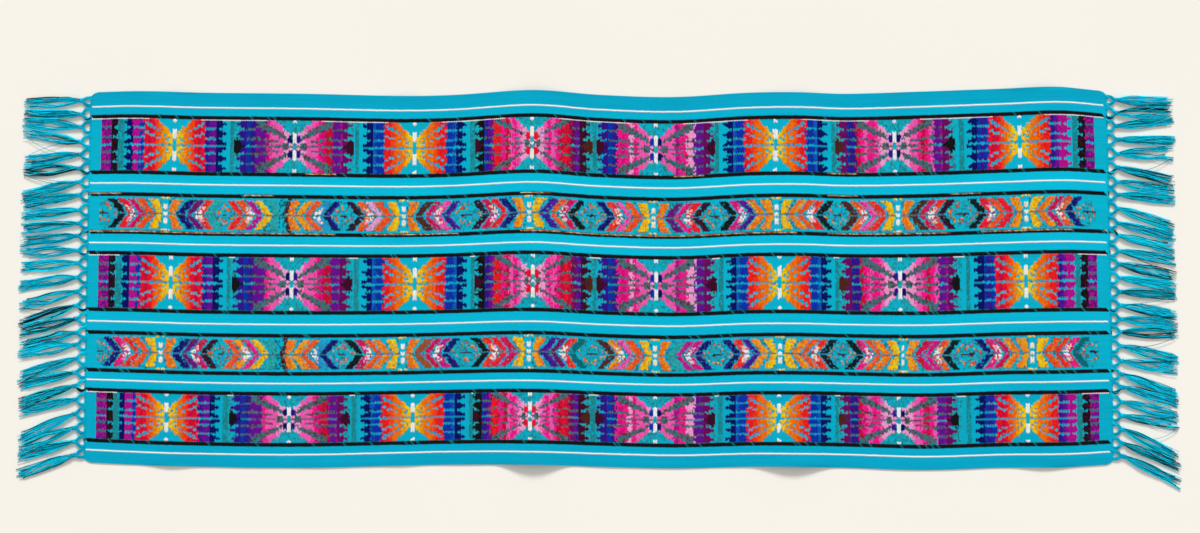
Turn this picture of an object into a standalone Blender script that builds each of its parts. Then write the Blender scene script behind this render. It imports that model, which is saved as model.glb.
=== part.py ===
# Rebozo: one woven shawl panel laid out flat, with a tied fringe along each end.
#
# Metres, +Z up. The shawl lies on the plane z = 0 with its length along X, and its origin is the middle of
# its base. Left is the -X end, far is the +Y selvedge and near is the -Y one.
#
# It has three pieces: cloth, fringe_left and fringe_right. A fringe is a narrow backing strip along the
# cloth's end, a net of split legs, a row of knots, and a tassel of five locks on each knot.

import math
import random
from collections import namedtuple

import bmesh
import bpy
from mathutils import Vector

# The woven panel
WIDTH = 0.700
FAR_LENGTH = 1.898
NEAR_LENGTH = 1.925
END_BOW = 0.0015
CORNER_RADIUS = 0.012
CORNER_STEPS = 3
THICKNESS = 0.0015
WIDEST_COLUMN = 0.055
MIDDLE_ROWS = 8
FOLD_STEPS = 3

# How far each selvedge is pushed toward the far side, by its distance from the cloth's left end
Wave = namedtuple("Wave", "along far near")
WAVES = (
    Wave(0.000, 0.001, 0.008),
    Wave(0.080, 0.003, 0.004),
    Wave(0.210, 0.000, 0.000),
    Wave(0.400, -0.002, -0.002),
    Wave(0.585, -0.006, 0.002),
    Wave(0.680, -0.004, 0.004),
    Wave(0.833, 0.005, 0.004),
    Wave(0.960, -0.004, 0.000),
    Wave(1.100, -0.008, -0.003),
    Wave(1.240, 0.000, 0.000),
    Wave(1.333, 0.001, 0.000),
    Wave(1.425, -0.002, -0.002),
    Wave(1.565, 0.002, -0.006),
    Wave(1.710, 0.007, -0.002),
    Wave(1.830, 0.011, -0.001),
    Wave(1.912, 0.004, 0.004),
)

# Soft ridges that run across the panel: where the crest is, how far it reaches to each side, and how high
# the underside stands there at each selvedge
Fold = namedtuple("Fold", "along reach far_lift near_lift")
FOLDS = (
    Fold(0.150, 0.055, 0.002, 0.003),
    Fold(0.590, 0.050, 0.003, 0.001),
    Fold(0.833, 0.080, 0.007, 0.013),
    Fold(1.320, 0.085, 0.004, 0.011),
    Fold(1.795, 0.065, 0.005, 0.003),
)

# The backing strip, which lies just outside the cloth's end
GAP = 0.0004
STRIP_WIDTH = 0.0022
STRIP_START = 0.006

# Stems, legs and knots of the net
TASSELS = 27
FIRST_KNOT = 0.0155
KNOT_OUT = 0.0195
KNOT_WOBBLE = 0.0018
KNOT_RADIUS = 0.0050
KNOT_HEIGHT = 0.0058
CROWN_SHARE = 0.62
CROWN_HEIGHT = 0.0046
END_STEM = 0.0095
STEM_END = 0.0082
STEM_HALF = 0.0026
STEM_FORK = 0.0095
LEG_HEIGHT = 0.0026
LEG_BULGE = 0.0009

# Tassels: five locks side by side on the floor, each with a flat underside and a ridged top
LOCKS = 5
LOCK_LENGTH = 0.104
LOCK_UNEVEN = 0.003
LOCK_FILL = 0.78
LOCK_HEIGHT = 0.0024
LEAST_GAP = 0.0012
Station = namedtuple("Station", "share half_width height")
STATIONS = (
    Station(0.16, 0.0068, 1.0),
    Station(0.55, 0.0088, 1.0),
    Station(1.00, 0.0104, 0.7),
)

# Tassels lie together in bunches, from the far side to the near one. A bunch's tips are drawn toward its
# middle, and lean says how far they are pushed toward the near side.
BUNCH_PULL = 0.70
Bunch = namedtuple("Bunch", "tassels lean")
LEFT_BUNCHES = (
    Bunch(4, -0.005),
    Bunch(2, 0.009),
    Bunch(3, 0.018),
    Bunch(1, 0.009),
    Bunch(2, 0.008),
    Bunch(1, 0.009),
    Bunch(1, 0.017),
    Bunch(1, 0.026),
    Bunch(2, 0.031),
    Bunch(2, 0.021),
    Bunch(2, 0.028),
    Bunch(2, 0.027),
    Bunch(3, 0.038),
    Bunch(1, 0.037),
)
RIGHT_BUNCHES = (
    Bunch(3, -0.003),
    Bunch(1, 0.002),
    Bunch(1, -0.001),
    Bunch(3, 0.017),
    Bunch(2, 0.031),
    Bunch(2, 0.023),
    Bunch(2, 0.019),
    Bunch(1, 0.006),
    Bunch(3, 0.011),
    Bunch(2, 0.021),
    Bunch(2, 0.035),
    Bunch(2, 0.022),
    Bunch(2, 0.047),
    Bunch(1, 0.051),
)

TURQUOISE = (0.0, 0.45, 0.62, 1.0)
FRINGE_TURQUOISE = (0.0, 0.40, 0.56, 1.0)
YARN_ROUGHNESS = 0.85


def clear_scene():
    for obj in list(bpy.data.objects):
        bpy.data.objects.remove(obj, do_unlink=True)


def yarn_material(name, colour):
    material = bpy.data.materials.new(name)
    material.use_nodes = True
    shader = material.node_tree.nodes["Principled BSDF"]
    shader.inputs["Base Color"].default_value = colour
    shader.inputs["Roughness"].default_value = YARN_ROUGHNESS
    shader.inputs["Metallic"].default_value = 0.0
    return material


def make_piece(name, bm, material):
    """Closes a finished bmesh into one named object."""
    bmesh.ops.recalc_face_normals(bm, faces=bm.faces)
    mesh = bpy.data.meshes.new(name)
    bm.to_mesh(mesh)
    bm.free()
    mesh.materials.append(material)
    piece = bpy.data.objects.new(name, mesh)
    bpy.context.scene.collection.objects.link(piece)
    return piece


# The panel's surface. Along runs from the cloth's left end, down from the far selvedge.


def wave_shift(along, column):
    """A smooth curve through one column of WAVES."""
    last = len(WAVES) - 1
    row = 0
    while row < last - 1 and along > WAVES[row + 1].along:
        row += 1

    def slope(index):
        before = WAVES[max(index - 1, 0)]
        after = WAVES[min(index + 1, last)]
        rise = getattr(after, column) - getattr(before, column)
        return rise / (after.along - before.along)

    start, end = WAVES[row], WAVES[row + 1]
    step = end.along - start.along
    t = min(max((along - start.along) / step, 0.0), 1.0)
    return (
        getattr(start, column) * (1 + 2 * t) * (1 - t) ** 2
        + getattr(end, column) * (3 - 2 * t) * t**2
        + slope(row) * step * t * (1 - t) ** 2
        - slope(row + 1) * step * t**2 * (1 - t)
    )


def side_place(along, down):
    """Y of a point of the panel: straight selvedges, pushed by the waves."""
    across = down / WIDTH
    far = wave_shift(along, "far")
    near = wave_shift(along, "near")
    return WIDTH / 2 - down + far + (near - far) * across


def end_place(down):
    """Distance of the cloth's end line from the middle of its length."""
    across = min(max(down / WIDTH, 0.0), 1.0)
    length = FAR_LENGTH + (NEAR_LENGTH - FAR_LENGTH) * across
    return length / 2 + END_BOW * 4 * across * (1 - across)


def corner_inset(down):
    """How far a rounded corner draws the end line in."""
    short = CORNER_RADIUS - min(down, WIDTH - down)
    if short <= 0:
        return 0.0
    return CORNER_RADIUS - math.sqrt(max(CORNER_RADIUS**2 - short**2, 0.0))


def lift(along, down):
    """Height of the cloth's underside above the floor."""
    height = 0.0
    for fold in FOLDS:
        away = abs(along - fold.along) / fold.reach
        if away < 1:
            crest = fold.far_lift + (fold.near_lift - fold.far_lift) * down / WIDTH
            height += crest * (0.5 + 0.5 * math.cos(math.pi * away))
    return height


def column_places():
    """Places along the cloth that hold a column of points: close on the ridges, wide between them."""
    places = {0.0, WAVES[-1].along}
    for fold in FOLDS:
        for step in range(-FOLD_STEPS, FOLD_STEPS + 1):
            places.add(fold.along + fold.reach * step / FOLD_STEPS)
    ordered = sorted(places)
    filled = [ordered[0]]
    for start, end in zip(ordered, ordered[1:]):
        parts = math.ceil((end - start) / WIDEST_COLUMN)
        filled += [start + (end - start) * part / parts for part in range(1, parts + 1)]
    return filled


def row_places():
    """Distances from the far selvedge that hold a row of points: close at the rounded corners."""
    turns = [math.pi / 2 * step / CORNER_STEPS for step in range(CORNER_STEPS)]
    edge = [CORNER_RADIUS * (1 - math.cos(turn)) for turn in turns]
    inner = WIDTH - 2 * CORNER_RADIUS
    middle = [CORNER_RADIUS + inner * row / MIDDLE_ROWS for row in range(MIDDLE_ROWS + 1)]
    return edge + middle + [WIDTH - down for down in reversed(edge)]


def make_cloth():
    bm = bmesh.new()
    columns = column_places()
    rows = row_places()
    grid = []
    for along in columns:
        column = []
        for down in rows:
            half = end_place(down) - corner_inset(down)
            x = half * (2 * along / columns[-1] - 1)
            column.append(bm.verts.new((x, side_place(along, down), lift(along, down))))
        grid.append(column)
    for left, right in zip(grid, grid[1:]):
        for a, b, c, d in zip(left, left[1:], right[1:], right):
            bm.faces.new((a, b, c, d))
    raised = bmesh.ops.extrude_face_region(bm, geom=bm.faces[:])["geom"]
    top = [item for item in raised if isinstance(item, bmesh.types.BMVert)]
    bmesh.ops.translate(bm, verts=top, vec=(0, 0, THICKNESS))
    return make_piece("cloth", bm, yarn_material("woven_cotton", TURQUOISE))


# The fringe. A point of it is given by out, its distance from the cloth's end line, and down, its distance
# from the far selvedge. Every underside lies on the floor.


class Fringe:
    def __init__(self, side, bunches, seed):
        self.bm = bmesh.new()
        self.side = side
        self.bunches = bunches
        self.chance = random.Random(seed)
        self.end = 0.0 if side < 0 else WAVES[-1].along

    def point(self, out, down, z=0.0):
        x = self.side * (end_place(down) + out)
        return self.bm.verts.new((x, side_place(self.end, down), z))

    def face(self, *verts):
        self.bm.faces.new(verts)

    def tube(self, start, end):
        """Joins two three-sided sections: low edge, ridge, low edge."""
        for (a, b), (c, d) in zip(zip(start, start[1:]), zip(end, end[1:])):
            self.face(a, b, d, c)
        self.face(start[0], start[-1], end[-1], end[0])

    def uneven(self, most):
        return self.chance.uniform(-most, most)


def knot_places(fringe):
    pitch = (WIDTH - 2 * FIRST_KNOT) / (TASSELS - 1)
    return [
        Vector((KNOT_OUT + fringe.uneven(KNOT_WOBBLE), FIRST_KNOT + number * pitch))
        + Vector((0.0, fringe.uneven(KNOT_WOBBLE)))
        for number in range(TASSELS)
    ]


def tip_places(fringe, knots):
    """Where each tassel ends: its bunch drawn together and leaning."""
    tips = []
    for bunch in fringe.bunches:
        members = knots[len(tips) : len(tips) + bunch.tassels]
        middle = sum(knot.y for knot in members) / len(members)
        for knot in members:
            down = middle + (knot.y - middle) * BUNCH_PULL + bunch.lean
            tips.append(Vector((knot.x + LOCK_LENGTH, down)))
    return tips


def add_stem(fringe, down, legs):
    """A short stem from the strip. legs says which ways it splits: -1 far, 1 near."""
    root = STRIP_WIDTH + GAP - corner_inset(down)
    fork = STEM_HALF / 2
    low = [fringe.point(root, down - STEM_HALF), fringe.point(root, down + STEM_HALF)]
    tops = [fringe.point(root, down + fork * leg, LEG_HEIGHT) for leg in legs]
    ends = [fringe.point(STEM_END, down - STEM_HALF), fringe.point(STEM_END, down + STEM_HALF)]
    ridges = [fringe.point(STEM_END, down + fork * leg, LEG_HEIGHT) for leg in legs]
    fringe.face(low[0], tops[0], ridges[0], ends[0])
    fringe.face(tops[-1], low[1], ends[1], ridges[-1])
    if len(legs) == 1:
        fringe.face(low[0], low[1], ends[1], ends[0])
        return low, tops, {legs[0]: (ends[0], ridges[0], ends[1])}
    middle = fringe.point(STEM_FORK, down)
    fringe.face(tops[0], tops[1], middle)
    fringe.face(tops[0], middle, ridges[0])
    fringe.face(tops[1], ridges[1], middle)
    fringe.face(low[0], low[1], ends[1], middle, ends[0])
    return low, tops, {-1: (ends[0], ridges[0], middle), 1: (middle, ridges[1], ends[1])}


def add_strip(fringe, roots):
    """The backing strip: a bar along the cloth's end, open where each stem grows out of it."""

    def inner(down):
        out = GAP - corner_inset(down)
        return fringe.point(out, down), fringe.point(out, down, THICKNESS)

    def cap(down):
        out = GAP + STRIP_WIDTH - corner_inset(down)
        return fringe.point(out, down), fringe.point(out, down, LEG_HEIGHT)

    first, last = STRIP_START, WIDTH - STRIP_START
    low, high = inner(first)
    outer_low, outer_high = cap(first)
    fringe.face(low, high, outer_high, outer_low)
    for down, (root, tops) in roots:
        for reach, next_low, next_high, closed in (
            (-STEM_HALF, root[0], tops[0], True),
            (STEM_HALF, root[1], tops[-1], False),
        ):
            new_low, new_high = inner(down + reach)
            fringe.face(low, new_low, new_high, high)
            fringe.face(low, outer_low, next_low, new_low)
            if outer_high is next_high:
                fringe.face(high, new_high, next_high)
            else:
                fringe.face(high, new_high, next_high, outer_high)
            if closed:
                fringe.face(outer_low, outer_high, next_high, next_low)
            low, high, outer_low, outer_high = new_low, new_high, next_low, next_high
    new_low, new_high = inner(last)
    next_low, next_high = cap(last)
    fringe.face(low, new_low, new_high, high)
    fringe.face(low, outer_low, next_low, new_low)
    fringe.face(high, new_high, next_high, outer_high)
    fringe.face(outer_low, outer_high, next_high, next_low)
    fringe.face(new_low, new_high, next_high, next_low)


def add_knot(fringe, knot):
    """A domed knot. Returns where its two legs and its locks grow out of it."""

    def at(out, down, z=0.0):
        return fringe.point(knot.x + out * KNOT_RADIUS, knot.y + down * KNOT_RADIUS, z)

    crotch = at(-1.0, 0.0)
    shoulders = [at(-0.45, -0.90), at(-0.45, 0.90)]
    leg_ridges = [at(-0.80, -0.52, LEG_HEIGHT), at(-0.80, 0.52, LEG_HEIGHT)]
    cheeks = [at(0.35, -0.95), at(0.35, 0.95)]
    spread = [-0.55 + 1.1 * step / LOCKS for step in range(LOCKS + 1)]
    roots = [at(0.95, down) for down in spread]
    ridges = [at(0.95, (a + b) / 2, LOCK_HEIGHT) for a, b in zip(spread, spread[1:])]
    front = [roots[0]]
    for ridge, root in zip(ridges, roots[1:]):
        front += [ridge, root]
    rim = [crotch, leg_ridges[0], shoulders[0], cheeks[0], *front, cheeks[1], shoulders[1], leg_ridges[1]]
    fringe.face(crotch, shoulders[0], cheeks[0], *roots, cheeks[1], shoulders[1])
    centre = sum((vert.co for vert in rim), Vector()) / len(rim)
    crown = []
    for vert in rim:
        x, y, _ = centre.lerp(vert.co, CROWN_SHARE)
        crown.append(fringe.bm.verts.new((x, y, CROWN_HEIGHT)))
    apex = fringe.bm.verts.new((centre.x, centre.y, KNOT_HEIGHT))
    for index in range(len(rim)):
        after = (index + 1) % len(rim)
        fringe.face(rim[index], rim[after], crown[after], crown[index])
        fringe.face(crown[index], crown[after], apex)
    leg_roots = {
        -1: (shoulders[0], leg_ridges[0], crotch),
        1: (crotch, leg_ridges[1], shoulders[1]),
    }
    return leg_roots, list(zip(roots, ridges, roots[1:]))


def add_leg(fringe, start, end, bulge):
    """A leg of the net, bent a little away from the gap that it borders."""
    middle = []
    for a, b in zip(start, end):
        x, y, z = (a.co + b.co) / 2
        middle.append(fringe.bm.verts.new((x, y - bulge, z)))
    fringe.tube(start, middle)
    fringe.tube(middle, end)


def add_tassel(fringe, knot, tip, roots, room):
    """Five locks that leave the knot, swell and end uneven. room gives the free width at each station."""
    run = tip - knot
    for number, root in enumerate(roots):
        place = number - (LOCKS - 1) / 2
        length = 1 + fringe.uneven(LOCK_UNEVEN) / LOCK_LENGTH
        section = root
        for station, free in zip(STATIONS, room):
            half = min(station.half_width, free)
            lock_half = half / LOCKS * LOCK_FILL
            centre = knot + run * station.share * length
            down = centre.y + place * 2 * half / LOCKS
            height = LOCK_HEIGHT * station.height
            following = (
                fringe.point(centre.x, down - lock_half),
                fringe.point(centre.x, down, height),
                fringe.point(centre.x, down + lock_half),
            )
            fringe.tube(section, following)
            section = following
        fringe.face(*section)


def tassel_room(knots, tips, number):
    """Half of the distance to the nearer neighbour at each station, less the gap between tassels."""
    room = []
    for station in STATIONS:
        centres = [knot.lerp(tip, station.share).y for knot, tip in zip(knots, tips)]
        beside = centres[max(number - 1, 0) : number] + centres[number + 1 : number + 2]
        nearest = min(abs(centres[number] - other) for other in beside)
        room.append((nearest - LEAST_GAP) / 2)
    return room


def make_fringe(name, side, bunches, seed):
    fringe = Fringe(side, bunches, seed)
    knots = knot_places(fringe)
    tips = tip_places(fringe, knots)
    halfway = [(a.y + b.y) / 2 for a, b in zip(knots, knots[1:])]
    stems = [END_STEM, *halfway, WIDTH - END_STEM]
    strip_roots = []
    splits = []
    for number, down in enumerate(stems):
        legs = [leg for leg in (-1, 1) if 0 <= number + (leg - 1) // 2 < TASSELS]
        low, tops, split = add_stem(fringe, down, legs)
        strip_roots.append((down, (low, tops)))
        splits.append(split)
    add_strip(fringe, strip_roots)
    for number, (knot, tip) in enumerate(zip(knots, tips)):
        leg_roots, lock_roots = add_knot(fringe, knot)
        add_leg(fringe, splits[number][1], leg_roots[-1], -LEG_BULGE)
        add_leg(fringe, splits[number + 1][-1], leg_roots[1], LEG_BULGE)
        room = tassel_room(knots, tips, number)
        add_tassel(fringe, knot, tip, lock_roots, room)
    return make_piece(name, fringe.bm, yarn_material(name + "_yarn", FRINGE_TURQUOISE))


def centre_on_base(pieces):
    """Moves the meshes so that the middle of the whole shawl's base is the origin."""
    points = [vert.co for piece in pieces for vert in piece.data.vertices]
    middle = Vector(
        (
            (min(p.x for p in points) + max(p.x for p in points)) / 2,
            (min(p.y for p in points) + max(p.y for p in points)) / 2,
            min(p.z for p in points),
        )
    )
    for piece in pieces:
        for vert in piece.data.vertices:
            vert.co -= middle
        piece.data.update()


clear_scene()
centre_on_base(
    [
        make_cloth(),
        make_fringe("fringe_left", -1, LEFT_BUNCHES, 3),
        make_fringe("fringe_right", 1, RIGHT_BUNCHES, 8),
    ]
)
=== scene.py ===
# %% [markdown]
# # A rebozo laid out flat
#
# A rebozo is one long woven shawl. This one is turquoise cotton with five brocaded bands that run along its
# length, thin black and white lines between them, and a tied net with tassels at each short end. The packed
# solids give its place and size, and this script makes what the eye sees: cloth, raised stitches and yarn.

import math
import random
from collections import namedtuple

import bpy
import numpy as np
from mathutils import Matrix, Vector


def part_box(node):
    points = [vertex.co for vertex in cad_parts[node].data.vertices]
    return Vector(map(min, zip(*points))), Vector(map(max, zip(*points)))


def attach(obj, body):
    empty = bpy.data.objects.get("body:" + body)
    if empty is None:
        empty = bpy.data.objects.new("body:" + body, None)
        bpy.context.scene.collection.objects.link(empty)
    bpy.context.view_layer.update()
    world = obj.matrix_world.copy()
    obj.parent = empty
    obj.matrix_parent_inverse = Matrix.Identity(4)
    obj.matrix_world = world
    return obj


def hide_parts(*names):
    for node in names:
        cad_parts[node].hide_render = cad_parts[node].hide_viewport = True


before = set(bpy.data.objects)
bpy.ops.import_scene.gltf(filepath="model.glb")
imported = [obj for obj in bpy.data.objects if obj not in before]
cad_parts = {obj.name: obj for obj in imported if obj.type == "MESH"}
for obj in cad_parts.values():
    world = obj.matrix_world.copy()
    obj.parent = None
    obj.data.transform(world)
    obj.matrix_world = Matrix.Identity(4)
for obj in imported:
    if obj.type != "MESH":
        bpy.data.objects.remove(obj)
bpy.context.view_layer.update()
cloth_low, cloth_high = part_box("cloth")

# %% [markdown]
# ## The camera
#
# The picture is taken from straight above, from far away, so that the shawl's two ends look the same size.
# A long lens high up gives that flat view. The width of the view is the real width that the picture covers.

# %% Camera
VIEW_WIDTH = 2.2464
VIEW_MIDDLE = (0.0030, 0.0400)
CAMERA_HEIGHT = 8.0
SENSOR_WIDTH = 36.0

camera_data = bpy.data.cameras.new("overhead")
camera_data.sensor_width = SENSOR_WIDTH
camera_data.lens = SENSOR_WIDTH * CAMERA_HEIGHT / VIEW_WIDTH
camera_data.clip_end = 60
camera = bpy.data.objects.new("overhead", camera_data)
camera.location = (*VIEW_MIDDLE, CAMERA_HEIGHT)
bpy.context.scene.collection.objects.link(camera)
bpy.context.scene.camera = camera
print("lens:", round(camera_data.lens, 1), "mm")

# %% [markdown]
# ## The lie of the cloth
#
# Cloth on a table is never quite straight. Its selvedges swing a few millimetres, and soft ridges cross it
# where it was folded before. The solid follows short tables of those swings and ridges, and the same tables
# are used here, so that cloth, stitches and fringe all lie on one surface. A place on the shawl is given by
# `along`, from the left end, and `down`, from the far selvedge, both in metres.

# %% The panel's size, its swings and its ridges
WIDTH = 0.700
FAR_LENGTH = 1.898
NEAR_LENGTH = 1.925
END_BOW = 0.0015
CORNER_RADIUS = 0.012

Wave = namedtuple("Wave", "along far near")
Fold = namedtuple("Fold", "along reach far_lift near_lift")


def in_metres(kind, rows):
    """Rows of whole millimetres as named rows in metres."""
    return [kind(*(value / 1000 for value in row)) for row in rows]


WAVE_ROWS = (
    (0, 1, 8), (80, 3, 4), (210, 0, 0), (400, -2, -2), (585, -6, 2), (680, -4, 4), (833, 5, 4), (960, -4, 0),
    (1100, -8, -3), (1240, 0, 0), (1333, 1, 0), (1425, -2, -2), (1565, 2, -6), (1710, 7, -2), (1830, 11, -1),
    (1912, 4, 4),
)
FOLD_ROWS = ((150, 55, 2, 3), (590, 50, 3, 1), (833, 80, 7, 13), (1320, 85, 4, 11), (1795, 65, 5, 3))
WAVES = in_metres(Wave, WAVE_ROWS)
FOLDS = in_metres(Fold, FOLD_ROWS)
LENGTH = WAVES[-1].along


def wave_shift(along, column):
    """A smooth curve through one column of WAVES, for a whole array of places."""
    places = np.array([wave.along for wave in WAVES])
    heights = np.array([getattr(wave, column) for wave in WAVES])
    rows = np.arange(len(WAVES))
    before = np.maximum(rows - 1, 0)
    after = np.minimum(rows + 1, len(WAVES) - 1)
    slopes = (heights[after] - heights[before]) / (places[after] - places[before])
    row = np.clip(np.searchsorted(places, along) - 1, 0, len(WAVES) - 2)
    step = places[row + 1] - places[row]
    t = np.clip((along - places[row]) / step, 0.0, 1.0)
    return (
        heights[row] * (1 + 2 * t) * (1 - t) ** 2
        + heights[row + 1] * (3 - 2 * t) * t**2
        + slopes[row] * step * t * (1 - t) ** 2
        - slopes[row + 1] * step * t**2 * (1 - t)
    )


def side_place(along, down):
    """Y of the panel before it is set on its solid."""
    far = wave_shift(along, "far")
    near = wave_shift(along, "near")
    return WIDTH / 2 - down + far + (near - far) * down / WIDTH


def end_place(down):
    """Distance of the end line from the middle of the length."""
    across = np.clip(down / WIDTH, 0.0, 1.0)
    length = FAR_LENGTH + (NEAR_LENGTH - FAR_LENGTH) * across
    return length / 2 + END_BOW * 4 * across * (1 - across)


def corner_inset(down):
    """How far a rounded corner draws the end line in."""
    short = np.clip(CORNER_RADIUS - np.minimum(down, WIDTH - down), 0.0, CORNER_RADIUS)
    return CORNER_RADIUS - np.sqrt(CORNER_RADIUS**2 - short**2)


def lift(along, down):
    """Height of the underside above the floor: the ridges, and the faint unevenness of cloth."""
    height = 0.0002 * (2 + np.sin(along * 47 + down * 9) + np.sin(along * 23 - down * 31))
    for fold in FOLDS:
        away = np.clip(np.abs(along - fold.along) / fold.reach, 0.0, 1.0)
        crest = fold.far_lift + (fold.near_lift - fold.far_lift) * down / WIDTH
        height = height + crest * (0.5 + 0.5 * np.cos(math.pi * away))
    return height


# %% Set the panel on its solid
sides = np.linspace(0, LENGTH, 400)
far_side = side_place(sides, np.zeros(400)).max()
near_side = side_place(sides, np.full(400, WIDTH)).min()
SHIFT_X = (cloth_low.x + cloth_high.x) / 2
SHIFT_Y = (cloth_low.y + cloth_high.y - far_side - near_side) / 2


def cloth_point(along, down, above):
    """Places in the frame: above is the height over the cloth's underside."""
    half = end_place(down) - corner_inset(down)
    x = half * (2 * along / LENGTH - 1) + SHIFT_X
    y = side_place(along, down) + SHIFT_Y
    return np.stack((x, y, lift(along, down) + above), axis=-1)


print("shift onto the solid, mm:", round(SHIFT_X * 1000, 2), round(SHIFT_Y * 1000, 2))

# %% [markdown]
# ## Yarn colours
#
# The weaver works with a small stock of dyed cotton. Each yarn has a name here and its colour as the eye
# sees it, from 0 to 255. Blender calculates with linear light, so a short function converts the numbers.

# %% Yarn colours
YARNS = {
    "light_turquoise": (10, 214, 244),
    "turquoise": (0, 184, 216),
    "deep_turquoise": (0, 158, 192),
    "ground": (0, 178, 208),
    "white": (255, 253, 250),
    "cream": (250, 232, 196),
    "yellow": (255, 208, 0),
    "marigold": (255, 168, 0),
    "orange": (255, 120, 0),
    "flame": (255, 78, 18),
    "scarlet": (248, 28, 26),
    "red": (246, 8, 48),
    "crimson": (212, 0, 58),
    "blush": (255, 168, 216),
    "pink": (255, 96, 186),
    "hot_pink": (255, 20, 148),
    "fuchsia": (226, 0, 136),
    "magenta": (190, 6, 150),
    "plum": (116, 0, 104),
    "violet": (112, 6, 158),
    "indigo": (52, 14, 150),
    "royal": (0, 52, 178),
    "azure": (0, 96, 196),
    "navy": (0, 8, 104),
    "maroon": (66, 0, 40),
    "black": (14, 12, 16),
    "brown": (84, 36, 28),
    "rust": (168, 84, 40),
    "tan": (226, 158, 104),
    "smoke": (98, 102, 108),
    "slate": (66, 118, 132),
    "moss": (30, 146, 152),
    "sky": (40, 160, 216),
    "teal": (0, 112, 124),
    "sea": (44, 176, 178),
}


def linear(colour):
    """Eye values from 0 to 255 as linear light from 0 to 1."""
    shares = np.asarray(colour, float) / 255
    return np.where(shares <= 0.04045, shares / 12.92, ((shares + 0.055) / 1.055) ** 2.4)


def yarn(name):
    return (*linear(YARNS[name]), 1.0)


print(len(YARNS), "yarns")

# %% [markdown]
# ## Small helpers for nodes and for meshes
#
# Every material here is a Principled shader fed by a few texture nodes. One helper adds a node and sets its
# inputs, so that each material below reads as a short recipe. Another starts a piece from an empty
# selection, because operators act on all that is selected and the loaded solids are selected at first.


# %% Helpers
NOISE_RANGE = (0.25, 0.75)


def new_material(name, roughness, sheen):
    material = bpy.data.materials.new(name)
    material.use_nodes = True
    shader = material.node_tree.nodes["Principled BSDF"]
    shader.inputs["Roughness"].default_value = roughness
    shader.inputs["Sheen Weight"].default_value = sheen
    shader.inputs["Sheen Roughness"].default_value = 0.6
    shader.inputs["Specular IOR Level"].default_value = 0.06
    return material, shader


def add_node(material, kind, settings=None, **inputs):
    """Adds a node. Inputs are set by name, with _ for a space, or linked when the value is a socket."""
    node = material.node_tree.nodes.new(kind)
    for key, value in (settings or {}).items():
        setattr(node, key, value)
    for key, value in inputs.items():
        socket = node.inputs[int(key[1:])] if key[1:].isdigit() else node.inputs[key.replace("_", " ")]
        if isinstance(value, bpy.types.NodeSocket):
            material.node_tree.links.new(value, socket)
        else:
            socket.default_value = value
    return node


def link(material, output, target):
    material.node_tree.links.new(output, target)


def calculate(material, operation, *values):
    """A calculation with up to three numbers or sockets."""
    slots = {f"_{number}": value for number, value in enumerate(values)}
    return add_node(material, "ShaderNodeMath", {"operation": operation}, **slots).outputs[0]


def stretched_noise(material, place, scale, detail):
    """Noise with a scale of its own in each direction."""
    stretched = add_node(material, "ShaderNodeMapping", None, Vector=place, Scale=scale).outputs[0]
    noise = add_node(material, "ShaderNodeTexNoise", None, Vector=stretched, Scale=1.0, Detail=detail)
    return noise.outputs["Fac"]


def rescaled(material, value, source, target):
    """A value brought from one range to another."""
    ends = {"From_Min": source[0], "From_Max": source[1], "To_Min": target[0], "To_Max": target[1]}
    return add_node(material, "ShaderNodeMapRange", None, Value=value, **ends).outputs[0]


def paint(material, shader, colour, factor):
    """Makes the finish's colour a given one, lighter and darker by a factor."""
    settings = {"operation": "SCALE"}
    tinted = add_node(material, "ShaderNodeVectorMath", settings, Vector=colour, Scale=factor)
    link(material, tinted.outputs[0], shader.inputs["Base Color"])


def emboss(material, shader, height, strength, distance):
    """Gives the finish a fine relief."""
    bump = add_node(material, "ShaderNodeBump", None, Strength=strength, Distance=distance, Height=height)
    link(material, bump.outputs["Normal"], shader.inputs["Normal"])


def deselect_all():
    bpy.ops.object.select_all(action="DESELECT")


def active():
    return bpy.context.view_layer.objects.active


def finish_object(obj, name, material):
    """Puts an object's place into its mesh, names it and gives it its material."""
    deselect_all()
    obj.select_set(True)
    bpy.context.view_layer.objects.active = obj
    bpy.ops.object.transform_apply(location=True, rotation=True, scale=True)
    obj.name = name
    obj.data.name = name
    obj.data.materials.clear()
    if material is not None:
        obj.data.materials.append(material)
    return obj


# %% [markdown]
# ## The stripes of the ground cloth
#
# The warp is laid in stripes: plain turquoise between the bands and a slightly greener ground in the bands.
# The colour is also darker towards the two selvedges. Each stripe is a stop of one colour ramp, read across
# the cloth from a UV map that counts metres. A row of the table is a place in millimetres, then the stop's
# green and blue.

# %% Places across the cloth
WHITE_LINES = (0.0281, 0.1722, 0.2845, 0.4323, 0.5428, 0.6757)
BLACK_LINES = (0.0468, 0.1516, 0.1928, 0.2639, 0.3032, 0.4099, 0.4529, 0.5241, 0.5615, 0.6570)
Band = namedtuple("Band", "name far near rows")
BANDS = (
    Band("brocade_1", 0.0510, 0.1478, 28),
    Band("brocade_2", 0.1968, 0.2600, 21),
    Band("brocade_3", 0.3072, 0.4060, 28),
    Band("brocade_4", 0.4568, 0.5202, 21),
    Band("brocade_5", 0.5656, 0.6530, 26),
)
STRIPE_ROWS = (
    (0, 166, 200), (26, 168, 202), (31, 177, 210), (45, 178, 210), (49, 176, 204), (149, 178, 206),
    (155, 187, 219), (190, 186, 218), (195, 180, 208), (262, 180, 208), (267, 187, 219), (301, 185, 217),
    (306, 176, 204), (408, 176, 204), (413, 184, 216), (451, 180, 213), (456, 177, 206), (522, 177, 206),
    (527, 180, 213), (559, 178, 211), (564, 170, 200), (655, 170, 200), (660, 172, 206), (700, 163, 197),
)
STRIPES = [(down / 1000, (0, green, blue)) for down, green, blue in STRIPE_ROWS]
print(len(WHITE_LINES), "white lines,", len(BLACK_LINES), "black lines,", len(BANDS), "bands")

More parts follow.
